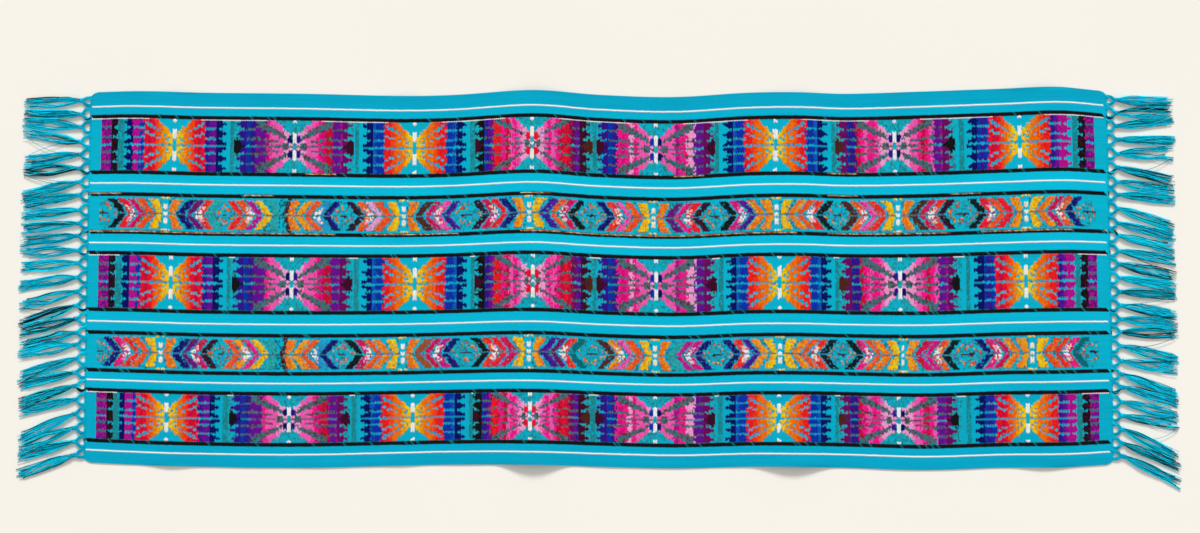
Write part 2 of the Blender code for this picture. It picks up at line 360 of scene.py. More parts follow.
# %% [markdown]
# ## The finish of the ground cloth
#
# It is a close plain weave in which the long warp threads show most. Fine noise drawn out along the length
# gives the streaks of single threads, broad noise gives the dye's unevenness, and two crossed waves raise
# the weave itself. All of it reads the UV map in metres, so the weave has its real scale of under 1 mm.

# %% Woven cotton
THREAD_PITCH = 0.0009
WAVE_NODE_PERIOD = 2 * math.pi / 20


def woven_cotton():
    material, shader = new_material("turquoise_weave", 0.88, 0.02)
    place = add_node(material, "ShaderNodeUVMap", {"uv_map": "weave"}).outputs["UV"]
    parts = add_node(material, "ShaderNodeSeparateXYZ", None, Vector=place)
    share = calculate(material, "DIVIDE", parts.outputs["Y"], WIDTH)
    ramp = add_node(material, "ShaderNodeValToRGB", None, Fac=share)
    stops = ramp.color_ramp.elements
    for down, _ in STRIPES[2:]:
        stops.new(down / WIDTH)
    for stop, (down, colour) in zip(stops, STRIPES):
        stop.position = down / WIDTH
        stop.color = (*linear(colour), 1.0)

    threads = stretched_noise(material, place, (14.0, 900.0, 1.0), 1.0)
    stripes = stretched_noise(material, place, (2.5, 130.0, 1.0), 2.0)
    patches = stretched_noise(material, place, (7.0, 9.0, 1.0), 3.0)
    slubs = stretched_noise(material, place, (160.0, 420.0, 1.0), 1.0)
    total = rescaled(material, threads, NOISE_RANGE, (0.93, 1.07))
    for source, target in ((stripes, (0.95, 1.05)), (patches, (0.96, 1.04)), (slubs, (0.96, 1.04))):
        total = calculate(material, "MULTIPLY", total, rescaled(material, source, NOISE_RANGE, target))
    paint(material, shader, ramp.outputs["Color"], total)

    def threads_along(direction):
        settings = {"bands_direction": direction}
        scale = WAVE_NODE_PERIOD / THREAD_PITCH
        wave = add_node(material, "ShaderNodeTexWave", settings, Vector=place, Scale=scale, Distortion=0.6)
        return wave.outputs["Fac"]

    weave = calculate(material, "MULTIPLY_ADD", threads_along("Y"), 0.7, threads_along("X"))
    relief = calculate(material, "MULTIPLY_ADD", slubs, 1.2, weave)
    emboss(material, shader, relief, 0.45, 0.00022)
    return material


cotton = woven_cotton()
print("material:", cotton.name)

# %% [markdown]
# ## The cloth
#
# A real panel is one flat sheet, so it starts as a grid with a point about every 8 mm, and closer rows at the
# selvedges for the rounded corners. The ridges are low and known from the tables, so the points are set
# straight onto the panel's own surface. Solidify then gives the sheet its thickness.

# %% Cloth sheet
CLOTH_THICKNESS = 0.0012
CLOTH_COLUMNS = 240
CLOTH_ROWS = 88
EDGE_CLOSENESS = 0.6


def read(items, field, kind=float, width=1):
    """One field of all points, faces or face corners of a mesh, as an array."""
    values = np.empty(len(items) * width, kind)
    items.foreach_get(field, values)
    return values.reshape(-1, width) if width > 1 else values


def corner_values(mesh, values):
    """Values of points, listed for each face corner."""
    return values[read(mesh.loops, "vertex_index", int)]


def set_uv(mesh, name, pairs):
    layer = mesh.uv_layers.get(name) or mesh.uv_layers.new(name=name)
    layer.data.foreach_set("uv", np.ascontiguousarray(pairs, np.float32).ravel())


def lay_cloth():
    deselect_all()
    bpy.ops.mesh.primitive_grid_add(x_subdivisions=CLOTH_COLUMNS, y_subdivisions=CLOTH_ROWS, size=1)
    cloth = active()
    mesh = cloth.data
    flat = read(mesh.vertices, "co", width=3)
    along = (flat[:, 0] + 0.5) * LENGTH
    across = 0.5 - flat[:, 1]
    down = (across - EDGE_CLOSENESS * np.sin(2 * math.pi * across) / (2 * math.pi)) * WIDTH
    mesh.vertices.foreach_set("co", cloth_point(along, down, 0.0).ravel())
    set_uv(mesh, "weave", corner_values(mesh, np.stack((along, down), axis=-1)))
    mesh.update()
    thick = cloth.modifiers.new("thickness", "SOLIDIFY")
    thick.thickness = CLOTH_THICKNESS
    thick.offset = 1.0
    thick.use_rim = True
    bpy.ops.object.modifier_apply(modifier=thick.name)
    mesh.uv_layers.remove(mesh.uv_layers["UVMap"])
    bpy.ops.object.shade_smooth_by_angle(angle=math.radians(50))
    return finish_object(cloth, "cloth_sheet", cotton)


cloth = lay_cloth()
print("cloth faces:", len(cloth.data.polygons))

# %% [markdown]
# ## Room for the cloth's picture
#
# When the shawl is exported, its finish is painted into an image through a UV map named OFBake. The face
# side takes one half of that image and the underside the other. The thin rim is spread just outside the
# face's outline, because a face with no width in the image would come out black.

# %% The cloth's OFBake map
BAKE_MARGIN = 0.02
RIM_SPREAD = 0.006


def map_cloth_for_baking(mesh):
    points = read(mesh.vertices, "co", width=3)
    low, high = points.min(axis=0), points.max(axis=0)
    plan = (points[:, :2] - low[:2]) / (high[:2] - low[:2])
    sizes = read(mesh.polygons, "loop_total", int)
    normal = np.repeat(read(mesh.polygons, "normal", width=3), sizes, axis=0)
    room = corner_values(mesh, plan) * (1 - 2 * BAKE_MARGIN) + BAKE_MARGIN
    height = corner_values(mesh, points[:, 2])
    lowest = np.repeat(np.minimum.reduceat(height, np.cumsum(sizes) - sizes), sizes)
    highest = np.repeat(np.maximum.reduceat(height, np.cumsum(sizes) - sizes), sizes)
    rim = np.abs(normal[:, 2]) < 0.5
    below = rim & (height < (lowest + highest) / 2)
    room[below] += normal[below, :2] * RIM_SPREAD
    under = normal[:, 2] < -0.5
    room[:, 1] = room[:, 1] / 2 + np.where(under, 0.0, 0.5)
    set_uv(mesh, "OFBake", room)


map_cloth_for_baking(cloth.data)
print("UV maps:", [layer.name for layer in cloth.data.uv_layers])

# %% [markdown]
# ## Modelling one stitch
#
# The lines and the brocade are floats: the extra yarn passes over a few threads and dips back into the
# cloth, so each float is a small raised bar that falls off at its ends. It starts as a cube, whose upper
# edges at the two ends are merged and drawn in, which leaves a ridge. It has only eight triangles, because
# it is used thousands of times.


# %% The stitch
def select_points(mesh, test):
    """Selects points by their place, in edit mode's point selection."""
    bpy.ops.object.mode_set(mode="OBJECT")
    for polygon in mesh.polygons:
        polygon.select = False
    for edge in mesh.edges:
        edge.select = False
    for point in mesh.vertices:
        point.select = test(point.co)
    bpy.ops.object.mode_set(mode="EDIT")


def model_stitch():
    deselect_all()
    bpy.ops.mesh.primitive_cube_add(size=1, location=(0, 0, 0.5))
    stitch = active()
    bpy.ops.object.mode_set(mode="EDIT")
    bpy.ops.mesh.select_mode(type="VERT")
    for side in (1, -1):
        select_points(stitch.data, lambda co, side=side: co.z > 0 and co.y * side > 0.1)
        bpy.ops.mesh.merge(type="CENTER")
    select_points(stitch.data, lambda co: co.z > 0.4)
    bpy.ops.transform.resize(value=(1.0, 0.6, 1.0))
    bpy.ops.mesh.select_all(action="SELECT")
    bpy.ops.mesh.normals_make_consistent(inside=False)
    bpy.ops.object.mode_set(mode="OBJECT")
    return finish_object(stitch, "stitch_pattern", None)


stitch = model_stitch()
print("stitch:", len(stitch.data.vertices), "points,", len(stitch.data.polygons), "faces")

# %% [markdown]
# ## Many copies in one mesh
#
# Thousands of separate objects would be slow, and copying by hand hopeless. The pattern's points are
# repeated with numpy instead, each copy with its own width, length, height and turn, and all of them become
# one joined mesh. A copy's points are laid on the cloth one by one, so that every stitch follows the ridges.


# %% Joined copies
def pattern_points(pattern):
    return read(pattern.data.vertices, "co", width=3)


def joined_copies(name, pattern, points, colours, material):
    """One mesh with a copy of pattern for each row of points. Each copy has its own yarn colour."""
    count, corners = points.shape[:2]
    loops = read(pattern.data.loops, "vertex_index", int)
    starts = read(pattern.data.polygons, "loop_start", int)
    number = np.arange(count)[:, None]
    mesh = bpy.data.meshes.new(name)
    mesh.vertices.add(count * corners)
    mesh.vertices.foreach_set("co", points.ravel())
    mesh.loops.add(count * len(loops))
    mesh.loops.foreach_set("vertex_index", (loops[None] + corners * number).ravel())
    mesh.polygons.add(count * len(starts))
    mesh.polygons.foreach_set("loop_start", (starts[None] + len(loops) * number).ravel())
    mesh.update(calc_edges=True)
    shades = mesh.color_attributes.new(name="yarn", type="FLOAT_COLOR", domain="POINT")
    full = np.concatenate((colours, np.ones((count, 1))), axis=1)
    shades.data.foreach_set("color", np.repeat(full, corners, axis=0).astype(np.float32).ravel())
    mesh.polygons.foreach_set("use_smooth", np.ones(len(mesh.polygons), bool))
    mesh.materials.append(material)
    obj = bpy.data.objects.new(name, mesh)
    bpy.context.scene.collection.objects.link(obj)
    return obj


# %% [markdown]
# ## The finish of the stitches
#
# All raised yarn shares one finish. The colour comes from the copy's own yarn, and fine fibre noise makes it
# lighter and darker, as twisted cotton is. The noise is drawn out down the float, where the fibres run.


# %% Stitch yarn
def stitch_yarn():
    material, shader = new_material("stitch_yarn", 0.75, 0.02)
    own = add_node(material, "ShaderNodeAttribute", {"attribute_name": "yarn"}).outputs["Color"]
    place = add_node(material, "ShaderNodeTexCoord").outputs["Object"]
    fibres = stretched_noise(material, place, (2400.0, 500.0, 900.0), 2.0)
    paint(material, shader, own, rescaled(material, fibres, NOISE_RANGE, (0.80, 1.16)))
    emboss(material, shader, fibres, 0.5, 0.0003)
    return material


stitch_cotton = stitch_yarn()

# %% [markdown]
# ## Laying stitches on the cloth
#
# A stitch is a row of named values: where it is, how long, wide and high it is, how far it is turned, and
# its yarn. For the exported picture, a band nearly two metres long is cut into four stretches that are
# stacked in the square, so that the stitches get enough of it.

# %% Laying stitches
Stitch = namedtuple("Stitch", "along down length width height turn red green blue strip")
STITCH_CLEARANCE = 0.00008
STRETCHES = 4


def shade(name, chance, spread=0.07):
    """A yarn's colour, a little lighter or darker each time."""
    factor = 1 + chance.uniform(-spread, spread)
    return tuple(min(float(part) * factor, 1.0) for part in yarn(name)[:3])


def lay_stitches(name, stitches, middles, strip_height):
    """middles has the middle of each line or band of the piece, and strip_height is how tall each is."""
    table = np.array(stitches)
    column = {field: table[:, number][:, None] for number, field in enumerate(Stitch._fields)}
    shape = pattern_points(stitch)[None]
    beside = shape[..., 0] * column["width"]
    ahead = shape[..., 1] * column["length"]
    turn = column["turn"]
    along = column["along"] + beside * np.cos(turn) - ahead * np.sin(turn)
    down = column["down"] - beside * np.sin(turn) - ahead * np.cos(turn)
    along = np.clip(along, 0.0005, LENGTH - 0.0005)
    above = CLOTH_THICKNESS + STITCH_CLEARANCE + shape[..., 2] * column["height"]
    points = cloth_point(along, down, above)
    colours = np.concatenate([column[part] for part in ("red", "green", "blue")], axis=1)
    obj = joined_copies(name, stitch, points, colours, stitch_cotton)
    stretch = np.floor(np.clip(column["along"] / LENGTH, 0, 0.9999) * STRETCHES)
    across = (along / LENGTH * STRETCHES - stretch) * (1 - 2 * BAKE_MARGIN) + BAKE_MARGIN
    level = stretch * len(middles) + column["strip"]
    centre = np.asarray(middles)[column["strip"].astype(int)]
    rise = (level + 0.5 - (down - centre) / strip_height) / (STRETCHES * len(middles))
    pairs = np.stack((across, rise), axis=-1).reshape(-1, 2)
    set_uv(obj.data, "OFBake", corner_values(obj.data, np.clip(pairs, 0.001, 0.999)))
    print(name, "stitches:", len(stitches))
    return obj


# %% [markdown]
# ## The white and black lines
#
# Each line is a narrow rib of slanted stitches that overlap, so its edge is a fine zigzag. The white ones
# are slim. The black ones are wider, and in places the weaver carried a brown or tan thread along with the
# black, most of all below the second band. A broken row of small white stitches follows some black lines
# between the figures.

# %% Lines
LINE_PITCH = 0.0036
LINE_START = 0.0022
LINE_STRIP = 0.012
TAN_SHARE = (0.00, 0.06, 0.22, 0.75, 0.00, 0.04, 0.00, 0.02, 0.00, 0.00)
DOTTED = ((0, 0.0042, 0.050), (4, 0.0042, 0.106), (8, 0.0040, 0.108))
FIGURE_PLACES = (0.1585, 0.3835, 0.6105, 0.8315, 1.0640, 1.2880, 1.5128, 1.7468)
# Length and width in metres, and turn in radians, of each kind of stitch
WHITE_RIB = (0.0045, 0.0027, 1.00)
BLACK_RIB = (0.0098, 0.0029, 0.76)
TAN_RIB = (0.0046, 0.0026, 1.25)
DOT = (0.0030, 0.0026, 1.45)
TAN_RUN = 16
TAN_SHIFT = 0.0014
TEAL_CHANCE = 0.05
FIRST_DOT = 0.06


def line_places():
    steps = int((LENGTH - 2 * LINE_START) / LINE_PITCH)
    return [LINE_START + LINE_PITCH * (step + 0.5) for step in range(steps)]


def slanted(along, down, length, width, turn, colour, number, chance):
    """One stitch of a rib, a little uneven."""
    return Stitch(
        along,
        down + chance.uniform(-0.0002, 0.0002),
        length * chance.uniform(0.95, 1.05),
        width,
        0.0005,
        turn + chance.uniform(-0.06, 0.06),
        *colour,
        number,
    )


def white_stitches():
    chance = random.Random(11)
    stitches = []
    for number, down in enumerate(WHITE_LINES):
        for along in line_places():
            colour = shade("white", chance, 0.03)
            stitches.append(slanted(along, down, *WHITE_RIB, colour, number, chance))
    return stitches


def black_stitches():
    chance = random.Random(12)
    stitches = []
    for number, down in enumerate(BLACK_LINES):
        tan = False
        for step, along in enumerate(line_places()):
            if step % TAN_RUN == 0:
                tan = chance.random() < TAN_SHARE[number]
            name = "teal" if chance.random() < TEAL_CHANCE else "black"
            colour = shade(name, chance, 0.15)
            stitches.append(slanted(along, down, *BLACK_RIB, colour, number, chance))
            if tan:
                colour = shade(chance.choice(("tan", "tan", "rust", "cream")), chance, 0.12)
                stitches.append(slanted(along, down - TAN_SHIFT, *TAN_RIB, colour, number, chance))
    return stitches


def dotted_stitches():
    """Small white stitches along the inner side of some black lines, only away from the figures' bodies."""
    chance = random.Random(13)
    stitches = []
    for number, below, clear in DOTTED:
        for along in line_places():
            near = min(abs(along - place) for place in FIGURE_PLACES)
            if near > clear or along < FIRST_DOT:
                colour = shade("white", chance, 0.03)
                spot = (along, BLACK_LINES[number] + below)
                stitches.append(slanted(*spot, *DOT, colour, number, chance))
    return stitches


white_lines = lay_stitches("white_lines", white_stitches(), WHITE_LINES, LINE_STRIP)
black_lines = lay_stitches("black_lines", black_stitches() + dotted_stitches(), BLACK_LINES, LINE_STRIP)

# %% [markdown]
# ## Charts for the brocade
#
# A weaver works a winged figure from a chart of squares, each a few threads wide. Here a rule fills the
# chart. The arms of a wing fan out from beside the body, so a square's arm follows from its height over the
# middle row, divided by a reach that grows outward. Rows of lobes and pointed edges follow at the side, and
# the lower half mirrors the upper one. One chart serves several colourways, through these signs:
#
# - `W` white body, `#` the column's own yarn, `n` the yarn beside the body, `e` the yarn at the outer edge
# - `f` the small flower at the side, `=` loose half-tone stitches, `.` bare ground

# %% Charts of the three wide figures, from the body outward, and of the strip at each end
Wing = namedtuple("Wing", "fan lobes edge last flower body")
HALF_ROWS = 10
LOBE_ROWS = 4
FAN_START = 3.0
FAN_GROWTH = 0.55
FLOWER_SIZE = 3.4
FLOWER_SLOPE = 0.8
POINT_SIZE = 2.2
NEAR_COLUMNS = 3


def wing_sign(wing, row, column):
    """The sign of a square. Rows run from the outer edge to the middle, columns from the body outward."""
    up = HALF_ROWS - row
    if column == 0:
        return "W" if row in wing.body else "."
    if wing.flower and up + FLOWER_SLOPE * abs(column - wing.last + 2) < FLOWER_SIZE:
        return "f"
    if up == 0:
        return "=" if column < wing.lobes else "."
    if column < wing.lobes:
        if wing.flower and column < NEAR_COLUMNS and 2 <= up <= 4:
            return "n"
        ratio = (up + 0.5) / (FAN_GROWTH * column + FAN_START)
        return next((sign for least, sign in wing.fan if ratio > least), "=")
    step = row % LOBE_ROWS
    if column < wing.edge:
        return "=" if step == LOBE_ROWS - 1 else "#"
    return "e" if abs(step - 1) + (column - wing.edge) / 2 < POINT_SIZE else "."


def wing_chart(wing):
    columns = range(wing.last)
    rows = ["".join(wing_sign(wing, row, column) for column in columns) for row in range(HALF_ROWS + 1)]
    return rows + rows[-2::-1]


GOLD_FAN = ((1.45, "."), (0.95, "#"), (0.82, "="), (0.55, "#"), (0.46, "."), (0.10, "#"))
ROSE_FAN = ((1.35, "."), (0.96, "#"), (0.62, "="), (0.36, "#"), (0.24, "="), (0.10, "#"))
RED_FAN = ((1.40, "."), (0.94, "#"), (0.70, "="), (0.40, "#"), (0.32, "="), (0.10, "#"))
GOLD_WING = wing_chart(Wing(GOLD_FAN, 15, 21, 26, False, (0, 4, 5, 6, 7)))
ROSE_WING = wing_chart(Wing(ROSE_FAN, 19, 24, 30, True, (0, 5, 6, 7, 8)))
RED_WING = wing_chart(Wing(RED_FAN, 19, 24, 30, True, (0, 4, 5, 6, 7, 10)))
END_STRIP = [row[19:28] for row in ROSE_WING]
print(len(GOLD_WING), "rows in a chart")

# %% [markdown]
# ## Colourways
#
# The two halves of a figure share their shape but not always their yarn: the weaver changed bobbins from
# side to side. A colourway lists the yarn of each pair of columns from beside the body outward, then the
# yarns of the `n`, `e` and `f` signs. A kind of figure joins a chart, two colourways and its half-tones.

# %% Colourways and the row of figures
Side = namedtuple("Side", "columns near edge flower")
Kind = namedtuple("Kind", "chart left right loose density")


def side(columns, near, edge, flower="black"):
    """One half of a figure. In columns, pink*3 stands for pink three times."""
    names = []
    for word in columns.split():
        name, _, times = word.partition("*")
        names += [name] * int(times or 1)
    return Side(names, near, edge, flower)


FIRE = "yellow marigold orange flame red crimson red "
FLAME = "yellow marigold orange orange flame scarlet scarlet "
MAGENTA_LOBES = side(FIRE + "royal magenta magenta navy navy", "sky", "navy")
VIOLET_LOBES = side(FIRE + "indigo violet violet indigo indigo", "sky", "navy")
AZURE_LOBES = side(FLAME + "royal royal azure plum navy", "sky", "navy")
ROYAL_LOBES = side(FIRE + "royal indigo royal royal navy", "sky", "navy")
LAST_LOBES = side(FLAME + "indigo violet magenta magenta plum", "sky", "magenta")
ROSE_LEFT = side("blush*2 pink*3 hot_pink violet*3 indigo royal*2 indigo navy", "navy", "indigo")
ROSE_RIGHT = side(
    "blush*2 pink*3 hot_pink fuchsia crimson*2 violet*2 magenta plum*2", "indigo", "plum", "maroon"
)
RED_LEFT = side(
    "blush*2 pink hot_pink pink crimson hot_pink red scarlet violet indigo royal indigo navy",
    "red",
    "black",
    "maroon",
)
RED_RIGHT = side(
    "blush*2 pink hot_pink pink hot_pink crimson red crimson plum violet indigo navy*2",
    "red",
    "maroon",
    "brown",
)
PINK_LEFT = side(
    "blush pink*3 hot_pink blush hot_pink fuchsia hot_pink indigo royal*2 indigo navy",
    "royal",
    "indigo",
    "maroon",
)
PINK_RIGHT = side(
    "pink*4 magenta hot_pink*2 blush*2 violet*2 plum violet maroon", "navy", "plum", "maroon"
)
MAUVE_LEFT = side(
    "blush*3 pink hot_pink*2 pink hot_pink crimson indigo*2 royal violet*2", "indigo", "plum", "brown"
)
MAUVE_RIGHT = side(
    "blush*3 pink*2 hot_pink crimson hot_pink pink violet*2 magenta violet plum", "navy", "plum", "black"
)
BRIGHT = ("sky", "ground", "sea", "sky")
SMOKY = ("smoke", "smoke", "smoke", "moss", "slate", "brown")
first_gold = Kind(GOLD_WING, MAGENTA_LOBES, VIOLET_LOBES, BRIGHT, 0.7)
middle_gold = Kind(GOLD_WING, AZURE_LOBES, AZURE_LOBES, BRIGHT, 0.7)
last_gold = Kind(GOLD_WING, ROYAL_LOBES, LAST_LOBES, BRIGHT, 0.7)
FIGURE_KINDS = (
    first_gold,
    Kind(ROSE_WING, ROSE_LEFT, ROSE_RIGHT, SMOKY, 1.0),
    middle_gold,
    Kind(RED_WING, RED_LEFT, RED_RIGHT, SMOKY, 1.0),
    Kind(ROSE_WING, PINK_LEFT, PINK_RIGHT, SMOKY, 1.0),
    middle_gold,
    Kind(ROSE_WING, MAUVE_LEFT, MAUVE_RIGHT, SMOKY, 1.0),
    last_gold,
)
BAND_START = 0.0208
BAND_END = 1.8890
print(len(FIGURE_PLACES), "figures in each band")

# %% [markdown]
# ## Working a band
#
# Floats sit on the cloth like bricks: in rows, with every other column half a row lower. For each of them
# the maker looks up the square of the chart that it falls on, slightly off at times, which gives the shapes
# their ragged woven edges. Half-tones are shorter, flatter and let the ground show.

# %% Brocade of the wide bands
COLUMN = 0.00375
FLOAT_PITCH = 0.0024
FLOAT_HEIGHT = 0.00055
BODY_HALF = 0.0037
SEAM_AWAY = 0.1085
SEAM_REACH = 0.0040
END_STRIP_WIDTH = 0.0320
END_SEAM_WIDTH = 0.0425
BRICK_OFFSETS = (0.73, 0.27)
EDGE_KEEP = 0.4
COLUMN_RAGGED = 0.12
ROW_RAGGED = 0.1
YARN_RAGGED = 0.1
SEAM_FILL = 0.85
SPECK_FILL = 0.45
Lay = namedtuple("Lay", "length width height swing")
TIGHT = Lay(1.22, 1.12, 1.0, 0.10)
LOOSE = Lay(0.95, 1.0, 0.5, 0.3)


def shifted(places, shifts):
    """Places along the cloth, each moved by its own millimetres."""
    return [place + shift / 1000 for place, shift in zip(places, shifts)]


def nearest(places, along):
    """The number of the place closest to a spot."""
    return min(range(len(places)), key=lambda step: abs(along - places[step]))


def brick_places(band):
    """Where the floats of a band lie."""
    height = (band.near - band.far) / band.rows
    columns = int((BAND_END - BAND_START) / FLOAT_PITCH)
    for column in range(columns):
        along = BAND_START + (column + 0.5) * FLOAT_PITCH
        for row in range(band.rows):
            yield along, band.far + (row + BRICK_OFFSETS[column % 2]) * height


def float_stitch(name, along, down, band, chance, turn=0.0, spread=0.16, lay=TIGHT):
    height = (band.near - band.far) / band.rows
    return Stitch(
        along,
        min(down, band.near - height * EDGE_KEEP),
        height * lay.length,
        FLOAT_PITCH * lay.width,
        FLOAT_HEIGHT * lay.height,
        turn + chance.uniform(-lay.swing, lay.swing),
        *shade(name, chance, spread),
        0,
    )


def loose_stitch(name, *spot):
    return float_stitch(name, *spot, 0.0, 0.20, LOOSE)


def chart_sign(chart, away, rise, chance):
    """The sign and the column that a float falls on. Rise is 0 at the far edge and 1 at the near one."""
    column = int(abs(away / COLUMN + chance.uniform(-COLUMN_RAGGED, COLUMN_RAGGED)))
    row = rise * len(chart) + chance.uniform(-ROW_RAGGED, ROW_RAGGED)
    row = int(min(max(row, 0), len(chart) - 0.01))
    sign = chart[row][column] if column < len(chart[row]) else "."
    if sign == "W" and away > BODY_HALF:
        sign = "."
    return sign, column


def yarn_of(sign, half, column, chance):
    """The name of the yarn for a sign of a figure's chart."""
    fixed = {"W": "white", "n": half.near, "e": half.edge, "f": half.flower}
    if sign in fixed:
        return fixed[sign]
    place = max(column - 1, 0) / 2 + chance.uniform(-YARN_RAGGED, YARN_RAGGED)
    return half.columns[int(min(max(place, 0), len(half.columns) - 1))]


def seam_places(places):
    """Greener strips at both sides of each gold figure, and one in the middle of the band."""
    seams = [(places[3] + places[4]) / 2]
    for place, kind in zip(places, FIGURE_KINDS):
        if kind.chart == GOLD_WING:
            seams += [place - SEAM_AWAY, place + SEAM_AWAY]
    return seams


def end_yarn(from_end, rise, chance):
    """The yarn of the strip at a band's end, and whether there is a float at all."""
    sign, _ = chart_sign(END_STRIP, from_end, rise, chance)
    if sign == "#":
        return chance.choice(("magenta", "violet", "magenta", "violet", "plum")), True
    if sign in "ef":
        return chance.choice(("black", "maroon", "black")), True
    return "slate", sign == "="


def wide_band(band, seed, shifts):
    chance = random.Random(seed)
    stitches = []
    places = shifted(FIGURE_PLACES, shifts)
    seams = seam_places(places)
    for along, down in brick_places(band):
        rise = (down - band.far) / (band.near - band.far)
        spot = (along, down, band, chance)
        from_end = min(along - BAND_START, BAND_END - along)
        if from_end < END_STRIP_WIDTH:
            name, worked = end_yarn(from_end, rise, chance)
            if worked:
                stitches.append(float_stitch(name, *spot))
            continue
        if from_end < END_SEAM_WIDTH or min(abs(along - seam) for seam in seams) < SEAM_REACH:
            if chance.random() < SEAM_FILL:
                stitches.append(loose_stitch("moss", *spot))
            continue
        number = nearest(places, along)
        kind = FIGURE_KINDS[number]
        away = along - places[number]
        half = kind.right if away > 0 else kind.left
        sign, column = chart_sign(kind.chart, abs(away), rise, chance)
        if sign == "=":
            if chance.random() < kind.density:
                stitches.append(loose_stitch(chance.choice(kind.loose), *spot))
        elif sign == ".":
            if kind.loose is SMOKY and chance.random() < SPECK_FILL:
                stitches.append(loose_stitch(chance.choice(("sea", "moss")), *spot))
        else:
            stitches.append(float_stitch(yarn_of(sign, half, column, chance), *spot))
    return stitches


def lay_band(band, stitches):
    middle = (band.far + band.near) / 2
    return lay_stitches(band.name, stitches, (middle,), (band.near - band.far) * 1.1)


WIDE_SHIFTS = {
    0: (0, 0, 0, 0, 0, 0, 0, 0),
    2: (-2, -1, 1, 1, 0, 5, 6, 8.5),
    4: (-6, -3.5, -1, -3, -3, 2.5, 1, 7.5),
}
WIDE_SEED = 20
brocades = []
for number, shifts in WIDE_SHIFTS.items():
    brocades.append(lay_band(BANDS[number], wide_band(BANDS[number], WIDE_SEED + number, shifts)))

# %% [markdown]
# ## The narrow bands
#
# Their figure is simpler, so it needs no chart: on each side five slanted arms lean in towards the middle
# line, like the feathers of two wings. An arm is given by its two edges at the middle line and its two
# edges at the outside. Between the figures lies a diamond of loose specks.

# %% Brocade of the narrow bands
Arm = namedtuple("Arm", "inner outer inner_end outer_end")
ARMS = (
    Arm(0.0055, 0.0160, 0.0130, 0.0310),
    Arm(0.0200, 0.0340, 0.0420, 0.0570),
    Arm(0.0385, 0.0475, 0.0600, 0.0730),
    Arm(0.0540, 0.0690, 0.0760, 0.0900),
    Arm(0.0730, 0.0850, 0.0940, 0.1080),
)
NARROW_PLACES = (0.1446, 0.3661, 0.5904, 0.8253, 1.0590, 1.2896, 1.5175, 1.7567)
ARM_RISE = 0.0272
ARM_LEAN = 0.55
ARM_FILL = 0.96
ARM_SPREAD = 0.24
MIDDLE_LINE = 0.0016
FLAME_AWAY = 0.0600
FLAME_HALF = 0.0060
CRESCENT_WIDTH = 0.0075
DIAMOND_FROM = 0.088
DIAMOND_MIDDLE = 0.113
BODY_DOTS = ((0.29, 0.075), (0.50, 0.045), (0.70, 0.080))
UPPER_FEATHERS = (
    ("yellow flame crimson red black", "orange navy plum scarlet sea"),
    ("sea yellow magenta flame scarlet", "orange marigold flame sky navy"),
    ("yellow flame blush flame maroon", "orange brown crimson pink indigo"),
    ("marigold navy red crimson maroon", "yellow indigo flame crimson black"),
    ("yellow flame pink scarlet navy", "orange plum hot_pink red maroon"),
    ("marigold orange indigo fuchsia black", "yellow orange flame scarlet black"),
    ("yellow scarlet pink flame brown", "orange brown crimson scarlet maroon"),
    ("marigold red flame red black", "yellow orange crimson flame navy"),
)
LOWER_FEATHERS = (
    ("yellow flame scarlet hot_pink navy", "orange navy plum crimson maroon"),
    ("sea yellow hot_pink marigold flame", "orange marigold flame sky navy"),
    ("yellow orange flame crimson black", "orange rust crimson magenta navy"),
    ("yellow crimson red scarlet black", "marigold indigo plum scarlet teal"),
    ("yellow flame pink orange brown", "orange sea magenta fuchsia navy"),
    ("yellow marigold indigo scarlet navy", "yellow orange flame scarlet black"),
    ("yellow orange flame hot_pink black", "marigold crimson fuchsia flame black"),
    ("marigold orange crimson hot_pink navy", "yellow flame scarlet hot_pink teal"),
)
NEIGHBOURS = {
    "yellow": "marigold",
    "marigold": "orange",
    "orange": "marigold",
    "flame": "orange",
    "crimson": "fuchsia",
    "red": "scarlet",
    "scarlet": "flame",
    "pink": "hot_pink",
    "hot_pink": "crimson",
    "navy": "indigo",
    "indigo": "violet",
    "plum": "violet",
    "magenta": "fuchsia",
    "maroon": "black",
}


def arm_at(away, rise):
    """The arm that covers a place, and how far across it: away from the body, rise from the middle line."""
    share = rise / ARM_RISE
    if share > 1:
        return None, 0.0
    for number, arm in enumerate(ARMS):
        inner = arm.inner + (arm.inner_end - arm.inner) * share
        outer = arm.outer + (arm.outer_end - arm.outer) * share
        if inner < away < outer:
            return number, (away - inner) / (outer - inner)
    return None, 0.0


def feather_yarn(names, number, across, away, rise, chance):
    """The yarn of an arm, with a pale flame near the middle line of the third and fourth."""
    if rise < 0.015 and abs(away - rise * 0.6 - FLAME_AWAY) < FLAME_HALF and chance.random() < 0.75:
        return "white" if rise < 0.007 else chance.choice(("blush", "cream"))
    name = names[number]
    mixed = 0.65 if across > 0.62 else 0.12
    return NEIGHBOURS.get(name, name) if chance.random() < mixed else name


def diamond_yarn(away_from_middle, rise, chance):
    """The specks between two figures: a ring of orange ones around a dark point."""
    ring = abs(away_from_middle) / 0.022 + rise / 0.017
    if 0.75 < ring < 1.25 and chance.random() < 0.22:
        return chance.choice(("orange", "flame", "rust", "marigold"))
    if abs(away_from_middle) < 0.005 and rise < 0.002:
        return "maroon"
    if ring < 1.7 and chance.random() < 0.40:
        return chance.choice(("slate", "sea", "sea", "moss", "sky"))
    return None


